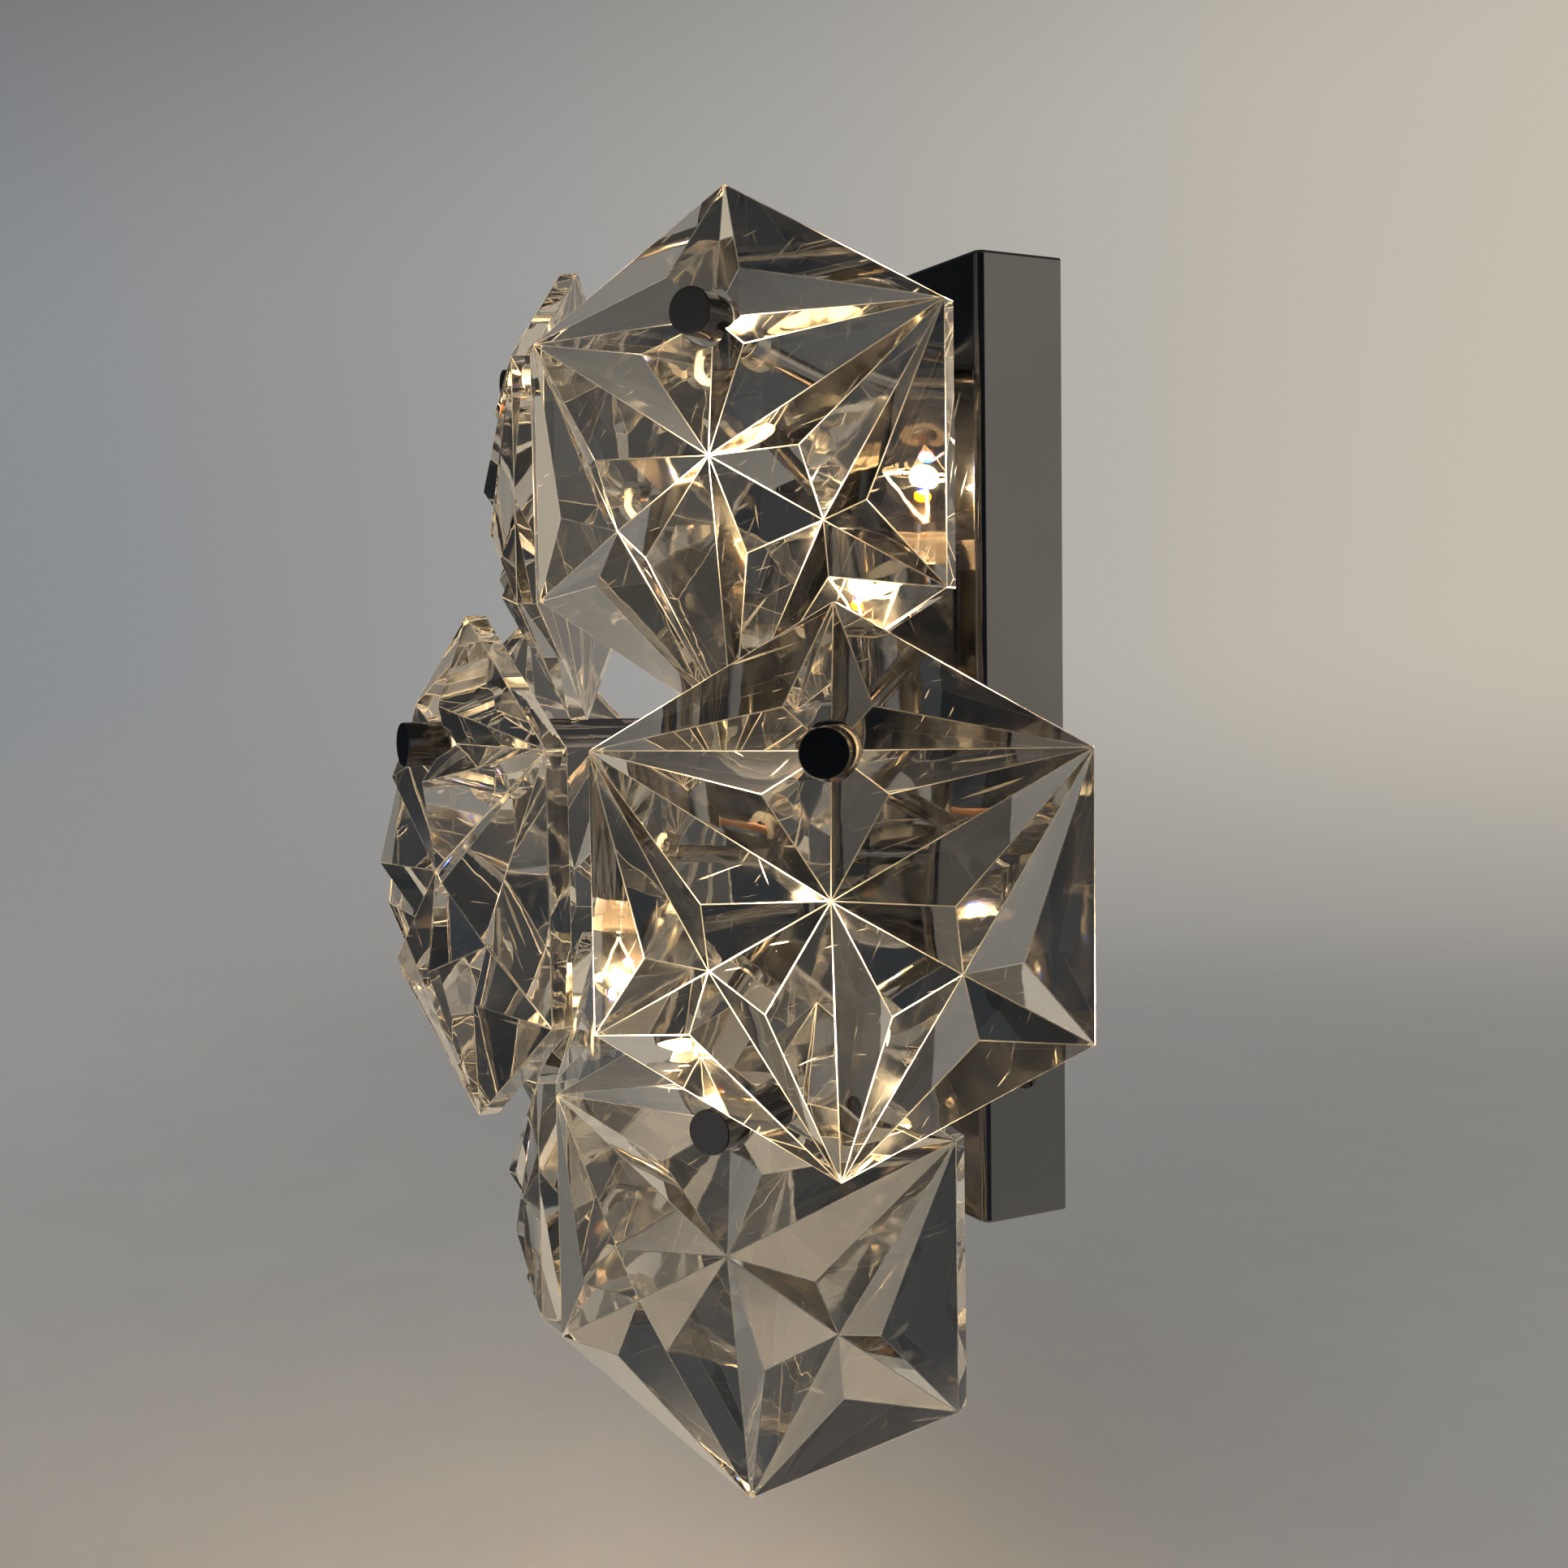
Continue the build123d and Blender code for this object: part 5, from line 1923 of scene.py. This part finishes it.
@dataclass
class Studio:
    """A pale floor that fades into a pale surround, soft lamps, dark cards and the bulbs' own light.

    Attributes:
        floor_height: Height of the floor, in metres.
        floor_tint: The floor's colour.
        pale: Colour of the surround at eye level.
        glow: Its colour behind the sconce, where the sconce's own light falls.
        shaded: Its colour to the left, on the room's side.
        flag_tint: Colour of the dark cards.
        flag_reach: Where a card starts and stands, from the origin, and its top, in metres.
        flag_share: How much of the floor near the sconce a card hides.
        flags: Each card's name, the direction of its middle from the wall's and half of its width, in degrees.
        bulb_power: Power of each bulb's light, in watts.
        pool_power: Power of the light that each bulb throws on the floor.
        fire_power: Power of the faint blue and amber lights that stand for the crystals' fire.
        overhead: Share of the surround's brightness that is left overhead.
        dome: Strength of the even light from all round.
        dome_tint: Colour of that light.
        room_way: Direction of the room's side, to the left.
        lean: How far the dark overhead leans back over the wall.
        flag_bend: Rounding of a card's bends, in metres.
        flag_edges: How steeply a card's sides grow dark, and the height over which its top thins out.
        lamps: Each soft lamp's name, place and side in metres, power in watts and colour.
        warm: Colour of the bulbs' light.
        bulb_radius: Radius of a bulb's light, in metres.
        pool_radius: Radius of the light that it throws on the floor, in metres.
        fire_radius: Radius of the faint lights, in metres.
        fire_aside: How far the blue light is from the globe's middle, in millimetres; the amber one mirrors it.
        fire: For each faint light, its colour and its side.
    """

    floor_height: float = -0.26
    floor_tint: tuple[float, float, float] = (0.34, 0.33, 0.315)
    pale: tuple[float, float, float] = (0.46, 0.435, 0.395)
    glow: tuple[float, float, float] = (0.62, 0.555, 0.455)
    shaded: tuple[float, float, float] = (0.22, 0.24, 0.265)
    flag_tint: tuple[float, float, float] = (0.03, 0.036, 0.044)
    flag_reach: tuple[float, float, float] = (0.12, 2.2, 1.4)
    flag_share: float = 0.88
    flags: tuple[tuple[str, float, float], ...] = (("left_flag", -110, 54), ("right_flag", 118, 46))
    bulb_power: dict[Level, float] = field(default_factory=lambda: {Level.UPPER: 1.5, Level.LOWER: 2.2})
    pool_power: float = 0.8
    fire_power: float = 0.05
    overhead: float = 0.16
    dome: float = 0.3
    dome_tint: tuple[float, float, float] = (0.94, 0.97, 1.0)
    room_way: tuple[float, float, float] = (-0.85, -0.53, 0.0)
    lean: float = 0.22
    flag_bend: float = 0.45
    flag_edges: tuple[float, float] = (2.6, 0.6)
    lamps: tuple[tuple[str, Sequence[float], float, float, Sequence[float]], ...] = (
        ("key_lamp", (0.9, -1.1, 0.9), 0.8, 14, (1.0, 0.98, 0.95)),
        ("fill_lamp", (-1.3, -0.6, 0.4), 0.9, 8, (0.9, 0.95, 1.0)),
        ("back_lamp", (0.5, 1.3, 0.7), 0.9, 8, (1.0, 1.0, 1.0)),
    )
    warm: tuple[float, float, float] = (1.0, 0.75, 0.4)
    bulb_radius: float = 0.003
    pool_radius: float = 0.05
    fire_radius: float = 0.0014
    fire_aside: tuple[float, float, float] = (3.5, 0.0, 4.5)
    fire: tuple[tuple[str, Sequence[float], int], ...] = (
        ("blue", (0.02, 0.12, 1.0), 1),
        ("amber", (1.0, 0.22, 0.0), -1),
    )

    def floor(self) -> bpy.types.Object:
        """A round floor whose edge fades out.

        Returns:
            The floor.
        """
        bm = bmesh.new()
        bmesh.ops.create_circle(bm, cap_ends=True, segments=96, radius=4.0)
        mesh = to_mesh(bm, "floor")
        mesh.transform(Matrix.Translation((0, 0, self.floor_height)))
        graph = ShaderGraph("studio_floor")
        worn = tuple(0.96 * value for value in self.floor_tint)
        graph.tint(graph.spread(graph.noise(3.0, 3.0), 0.3, 0.7, 0.0, 1.0), self.floor_tint, worn)
        graph.join(graph.spread(graph.noise(20, 3.0), 0.3, 0.7, 0.55, 0.7), graph.shader.inputs["Roughness"])
        graph.bumps(((graph.noise(200, 2.0), 0.00005),))
        distance = graph.add("ShaderNodeVectorMath", operation="LENGTH")
        graph.join(graph.place, distance.inputs[0])
        graph.fade(graph.spread(distance.outputs["Value"], 0.35, 1.6, 0.0, 1.0))
        mesh.materials.append(graph.material)
        made = new_object("floor", mesh)
        return made

    def world(self) -> None:
        """Light the room evenly, and show its pale surround to the camera, metal and glass."""
        world = bpy.data.worlds.new("studio")
        bpy.context.scene.world = world
        world.use_nodes = True
        graph = ShadingNodes(world.node_tree)
        way = graph.add("ShaderNodeTexCoord").outputs["Generated"]
        axes = graph.add("ShaderNodeSeparateXYZ")
        graph.join(way, axes.inputs[0])
        wall, height = axes.outputs["Y"], axes.outputs["Z"]
        colour = graph.mixed(graph.spread(wall, 0.45, 1.0, 0.0, 1.0), self.pale, self.glow)
        room = graph.add("ShaderNodeVectorMath", operation="DOT_PRODUCT")
        room.inputs[1].default_value = self.room_way
        graph.join(way, room.inputs[0])
        colour = graph.mixed(graph.spread(room.outputs["Value"], 0.2, 1.0, 0.0, 1.0), colour, self.shaded)
        ground = tuple(0.85 * value for value in self.floor_tint)
        colour = graph.mixed(graph.spread(height, 0.02, -0.2, 0.0, 1.0), colour, ground)
        tilt = graph.add("ShaderNodeMath", operation="MULTIPLY_ADD")
        tilt.inputs[1].default_value = -self.lean
        graph.join(wall, tilt.inputs[0])
        graph.join(height, tilt.inputs[2])
        fall = graph.spread(tilt.outputs["Value"], 0.12, 0.55, 1.0, self.overhead)
        seen = None
        path = graph.add("ShaderNodeLightPath")
        for ray in ("Is Camera Ray", "Is Glossy Ray", "Is Transmission Ray"):
            seen = path.outputs[ray] if seen is None else graph.combine(seen, path.outputs[ray], "MAXIMUM")
        shown = graph.nodes["Background"]
        graph.join(colour, shown.inputs["Color"])
        graph.join(fall, shown.inputs["Strength"])
        even = graph.add("ShaderNodeBackground")
        even.inputs["Color"].default_value = (*self.dome_tint, 1)
        even.inputs["Strength"].default_value = self.dome
        mix = graph.add("ShaderNodeMixShader")
        graph.join(seen, mix.inputs[0])
        graph.join(even.outputs[0], mix.inputs[1])
        graph.join(shown.outputs[0], mix.inputs[2])
        graph.join(mix.outputs[0], graph.nodes["World Output"].inputs["Surface"])

    @staticmethod
    def soft_lamp(name: str, place: Sequence[float], size: float, power: float, tint: Sequence[float]) -> None:
        """Hang a square soft lamp that faces the sconce, and that neither metal nor glass shows.

        Args:
            name: The lamp's name.
            place: Where it hangs, in metres.
            size: Length of its side, in metres.
            power: Its power in watts.
            tint: Colour of its light.
        """
        data = bpy.data.lights.new(name, "AREA")
        data.size, data.energy, data.color = size, power, tint
        lamp = bpy.data.objects.new(name, data)
        lamp.location = place
        lamp.rotation_mode = "QUATERNION"
        lamp.rotation_quaternion = Vector(place).to_track_quat("Z", "Y")
        lamp.visible_transmission = lamp.visible_glossy = False
        bpy.context.scene.collection.objects.link(lamp)

    @staticmethod
    def bulb_light(
        name: str,
        level: Level,
        power: float,
        radius: float,
        blockers: bpy.types.Collection,
        receivers: bpy.types.Collection,
        tint: Sequence[float],
        aside: Sequence[float] = (0, 0, 0),
    ) -> None:
        """Put a light round a bulb's filament.

        Args:
            name: The light's name.
            level: Which bulb.
            power: Its power in watts.
            radius: Radius of the light, in metres.
            blockers: The pieces that its light doesn't pass.
            receivers: What its light falls on.
            tint: Colour of the light.
            aside: How far it is from the middle of the globe, in millimetres.
        """
        data = bpy.data.lights.new(name, "POINT")
        data.energy, data.color, data.shadow_soft_size = power, tint, radius
        lamp = bpy.data.objects.new(name, data)
        spot = Vector((0, 0, BULB_SEAT + GLOBE_CENTRE)) + Vector(aside)
        lamp.location = (lamp_matrix(level) @ Matrix.Translation(spot)).translation
        lamp.light_linking.blocker_collection = blockers
        lamp.light_linking.receiver_collection = receivers
        bpy.context.scene.collection.objects.link(lamp)

    @staticmethod
    def gathered(name: str, things: Iterable[bpy.types.Object]) -> bpy.types.Collection:
        """Gather objects in a collection that only the lights use.

        Args:
            name: The collection's name.
            things: The objects.

        Returns:
            The collection.
        """
        made = bpy.data.collections.new(name)
        for thing in things:
            made.objects.link(thing)
        return made

    def flag_finish(self) -> bpy.types.Material:
        """Dark card that thins out where the attribute "soft" falls to 0.

        Returns:
            The cards' material.
        """
        graph = ShaderGraph("studio_flag")
        graph.set(Roughness=0.9, Specular_IOR_Level=0.1)
        graph.tint(graph.noise(3.0, 2.0), self.flag_tint, tuple(1.2 * value for value in self.flag_tint))
        soft = graph.add("ShaderNodeAttribute", attribute_name="soft").outputs["Fac"]
        graph.fade(graph.spread(soft, 0.0, 0.9, 1.0, 0.0))
        return graph.material

    def flag(self, name: str, middle: float, half: float, card_finish: bpy.types.Material) -> None:
        """Sweep a dark card with soft edges over the floor and up, which only glass and metal see.

        Args:
            name: The card's name.
            middle: Direction of its middle from the wall's, towards +X, in degrees.
            half: Half of its width, in degrees.
            card_finish: Its material.
        """
        low = self.floor_height + 0.004
        near, far, top = self.flag_reach
        steep, thin = self.flag_edges
        corners = [(2 * near, low), (far - 0.5, low), (far, low + 0.5), (far, top)]
        sweep = [(near, low), *rounded(corners, self.flag_bend, 6)]
        columns, rows = 24, len(sweep) - 1
        bm = bmesh.new()
        soft = bm.verts.layers.float.new("soft")
        grid = []
        for i in range(columns + 1):
            share = 2 * i / columns - 1
            a = math.radians(middle + half * share)
            for j, (reach, height) in enumerate(sweep):
                vert = bm.verts.new((reach * math.sin(a), reach * math.cos(a), height))
                side = min(1.0, steep * (1 - abs(share)))
                up = min(1.0, (top - height) / thin)
                vert[soft] = side * min(1.0, self.flag_share * j) * up
                grid.append(vert)
        for i in range(columns):
            for j in range(rows):
                k = i * (rows + 1) + j
                bm.faces.new((grid[k], grid[k + 1], grid[k + rows + 2], grid[k + rows + 1]))
        mesh = to_mesh(bm, name)
        mesh.materials.append(card_finish)
        card = new_object(name, mesh)
        card.visible_camera = card.visible_diffuse = card.visible_shadow = False

    def build(self) -> None:
        """Set the floor, the world and the lamps."""
        shown = [thing for thing in bpy.context.scene.objects if thing.type == "MESH" and not thing.hide_render]
        clear = {finish.name for finish in (CRYSTAL, BLOWN_GLASS, STEM_GLASS, CLEAR_PLASTIC)}
        solid = [thing for thing in shown if thing.data.materials and thing.data.materials[0].name not in clear]
        sconce, opaque = self.gathered("sconce_pieces", shown), self.gathered("opaque_pieces", solid)
        ground = self.gathered("ground", [self.floor()])
        self.world()
        card_finish = self.flag_finish()
        for name, middle, half in self.flags:
            self.flag(name, middle, half, card_finish)
        for lamp in self.lamps:
            self.soft_lamp(*lamp)
        for level, power in self.bulb_power.items():
            label = level.label
            self.bulb_light("bulb_light_" + label, level, power, self.bulb_radius, opaque, sconce, self.warm)
            self.bulb_light(
                "bulb_pool_" + label, level, self.pool_power, self.pool_radius, opaque, ground, self.warm
            )
            for word, tint, way in self.fire:
                name = f"bulb_fire_{label}_{word}"
                aside = [way * value for value in self.fire_aside]
                self.bulb_light(name, level, self.fire_power, self.fire_radius, opaque, sconce, tint, aside)
        scene = bpy.context.scene
        scene.view_settings.view_transform = "Standard"
        scene.cycles.max_bounces = 20
        scene.cycles.transmission_bounces = 18
        scene.cycles.glossy_bounces = 8
        scene.cycles.transparent_max_bounces = 12


@dataclass
class PhotographersCamera:
    """The camera where the photographer stood, in metres and degrees.

    Attributes:
        place: Where it stands.
        yaw: How far it turns from looking at the wall towards -X.
        pitch: How far it looks up.
        roll: How far it leans.
        lens: Its focal length in millimetres on a 36 mm sensor.
    """

    place: tuple[float, float, float] = (0.41609, -0.27758, 0.0212)
    yaw: float = 62.346
    pitch: float = -3.822
    roll: float = -0.885
    lens: float = 36 * 2234.57 / 1932

    def build(self) -> None:
        """Set the camera up and make it the scene's own."""
        yaw, pitch, roll = (math.radians(value) for value in (self.yaw, self.pitch, self.roll))
        ahead = Vector((-math.sin(yaw) * math.cos(pitch), math.cos(yaw) * math.cos(pitch), math.sin(pitch)))
        right = Vector((math.cos(yaw), math.sin(yaw), 0))
        above = right.cross(ahead)
        level_right = right * math.cos(roll) + above * math.sin(roll)
        level_up = above * math.cos(roll) - right * math.sin(roll)
        data = bpy.data.cameras.new("camera")
        data.sensor_width = 36
        data.lens = self.lens
        data.clip_start, data.clip_end = 0.01, 50
        camera = bpy.data.objects.new("camera", data)
        turned = Matrix((level_right, level_up, -ahead)).transposed().to_4x4()
        camera.matrix_world = Matrix.Translation(self.place) @ turned
        bpy.context.scene.collection.objects.link(camera)
        bpy.context.scene.camera = camera


# ---------------------------------------------------------------- the whole


def main() -> None:
    """Build the sconce's pieces, the studio and the camera, and report each piece."""
    logging.basicConfig(level=logging.INFO, format="%(name)s: %(message)s")
    PhotographersCamera().build()
    trees = Trees()
    assemblies = [
        CrystalSet(trees),
        Hangers(trees),
        CoverAssembly(trees),
        WallSide(trees),
        Lampholders(trees),
        Bulb(trees, Level.UPPER),
        Bulb(trees, Level.LOWER),
    ]
    for assembly in assemblies:
        pieces = assembly.build()
        log.info("%s: %d pieces", type(assembly).__name__, len(pieces))
    Studio().build()


if __name__ == "__main__":
    main()
